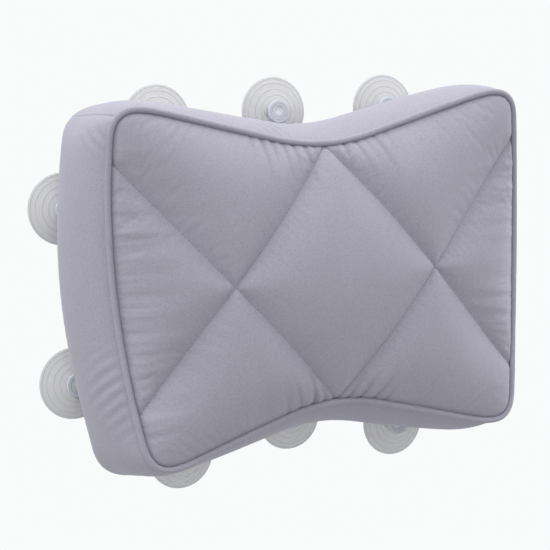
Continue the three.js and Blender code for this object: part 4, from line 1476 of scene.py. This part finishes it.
def floor_nodes(tree, stage):
    """Pale floor that keeps a soft shadow: mostly plain white to the camera, all white towards its edge, and
    matt to all other light."""
    tree.nodes.remove(tree.nodes["Principled BSDF"])
    matt = node(tree, "ShaderNodeBsdfDiffuse", (-200, 100), Color=MATT_GREY)
    plain = node(tree, "ShaderNodeEmission", (-200, -100), Color=WHITE, Strength=1.0)
    path = node(tree, "ShaderNodeLightPath", (-600, 200))
    places = node(tree, "ShaderNodeTexCoord", (-1000, 400))
    away = node(tree, "ShaderNodeVectorMath", (-800, 400), operation="LENGTH")
    white = node(
        tree,
        "ShaderNodeMapRange",
        (-600, 400),
        From_Min=FADE_START * stage.floor_drop,
        From_Max=math.hypot(stage.floor_drop, FADE_END * stage.floor_half),
        To_Min=FLOOR_WHITE,
        To_Max=1.0,
    )
    part = node(tree, "ShaderNodeMath", (-400, 200), operation="MULTIPLY")
    mixed = node(tree, "ShaderNodeMixShader", (50, 0))
    wire(
        tree,
        (places.outputs["Object"], away.inputs[0]),
        (away.outputs["Value"], white.inputs["Value"]),
        (path.outputs["Is Camera Ray"], part.inputs[0]),
        (white.outputs["Result"], part.inputs[1]),
        (part.outputs[0], mixed.inputs[0]),
        (matt.outputs[0], mixed.inputs[1]),
        (plain.outputs[0], mixed.inputs[2]),
        (mixed.outputs[0], tree.nodes["Material Output"].inputs["Surface"]),
    )


def softbox(scene, name, power):
    """A square light that faces the pillow's middle."""
    place, size = SOFTBOXES[name]
    light = bpy.data.lights.new(name, "AREA")
    light.shape = "SQUARE"
    light.size = size
    light.energy = power
    lamp = bpy.data.objects.new(name, light)
    lamp.location = place
    lamp.rotation_euler = (-Vector(place)).to_track_quat("-Z", "Y").to_euler()
    scene.collection.objects.link(lamp)


def camera_place(stage):
    """Camera's place: turned by azimuth and elevation about the middle of the face's plane, rolled, and
    moved sideways so that the middle of the picture is off the pillow's middle."""
    azimuth, elevation, roll = stage.azimuth, stage.elevation, stage.roll
    level = Vector((math.cos(azimuth), math.sin(azimuth), 0))
    back = Vector((
        math.sin(azimuth) * math.cos(elevation),
        -math.cos(azimuth) * math.cos(elevation),
        math.sin(elevation),
    ))
    upright = back.cross(level)
    right = level * math.cos(roll) + upright * math.sin(roll)
    up = upright * math.cos(roll) - level * math.sin(roll)
    plane, rise = face_plane()
    middle = Vector((0, plane, rise))
    place = middle + back * stage.distance + right * stage.aim_right + up * stage.aim_up
    turn = Matrix((right, up, back)).transposed().to_4x4()
    return Matrix.Translation(place) @ turn


class BATHPILLOW_OT_stage(bpy.types.Operator):
    """Make the floor, the lights and the camera"""

    bl_idname = "bath_pillow.stage"
    bl_label = "Stage"

    def execute(self, context):
        scene = context.scene
        stage = scene.bath_pillow.stage
        scene.view_settings.view_transform = "Standard"
        scene.world = backdrop_world(stage)
        half, drop = stage.floor_half, stage.floor_drop
        corners = [(-half, -half, -drop), (half, -half, -drop), (half, half, -drop), (-half, half, -drop)]
        pale = finished("pale_floor", floor_nodes, stage)
        mesh_object("floor", np.array(corners), np.array([[0, 1, 2, 3]]), pale)
        softbox(scene, "overhead", stage.key)
        softbox(scene, "left", stage.left)
        softbox(scene, "right", stage.right)
        camera = bpy.data.cameras.new("camera")
        camera.sensor_width = SENSOR_WIDTH
        camera.lens = stage.lens
        eye = bpy.data.objects.new("camera", camera)
        eye.matrix_world = camera_place(stage)
        scene.collection.objects.link(eye)
        scene.camera = eye
        return {"FINISHED"}


class BATHPILLOW_PT_panel(bpy.types.Panel):
    """Lists the pillow's operators and sizes"""

    bl_label = "Bath pillow"
    bl_space_type = "VIEW_3D"
    bl_region_type = "UI"
    bl_category = "Bath pillow"

    def draw(self, context):
        for operator in OPERATORS:
            self.layout.operator(operator.bl_idname)
        pillow = context.scene.bath_pillow
        for group in (pillow.cover, pillow.quilt, pillow.cup, pillow.finish, pillow.stage):
            box = self.layout.box()
            for name in group.__annotations__:
                box.prop(group, name)


OPERATORS = (
    BATHPILLOW_OT_stage,
    BATHPILLOW_OT_cover,
    BATHPILLOW_OT_piping,
    BATHPILLOW_OT_back_panel,
    BATHPILLOW_OT_quilting_thread,
    BATHPILLOW_OT_suction_cups,
    BATHPILLOW_OT_eyelet_tabs,
)
GROUPS = (CoverSizes, QuiltSizes, CupSizes, Finish, StageSettings, BathPillow)
CLASSES = (*GROUPS, *OPERATORS, BATHPILLOW_PT_panel)


def register():
    for item in CLASSES:
        bpy.utils.register_class(item)
    bpy.types.Scene.bath_pillow = PointerProperty(type=BathPillow)


def unregister():
    del bpy.types.Scene.bath_pillow
    for item in reversed(CLASSES):
        bpy.utils.unregister_class(item)


def main():
    register()
    bpy.ops.bath_pillow.stage()
    bpy.ops.bath_pillow.cover()
    bpy.ops.bath_pillow.piping()
    bpy.ops.bath_pillow.back_panel()
    bpy.ops.bath_pillow.quilting_thread()
    bpy.ops.bath_pillow.suction_cups()
    bpy.ops.bath_pillow.eyelet_tabs()


if __name__ == "__main__":
    main()
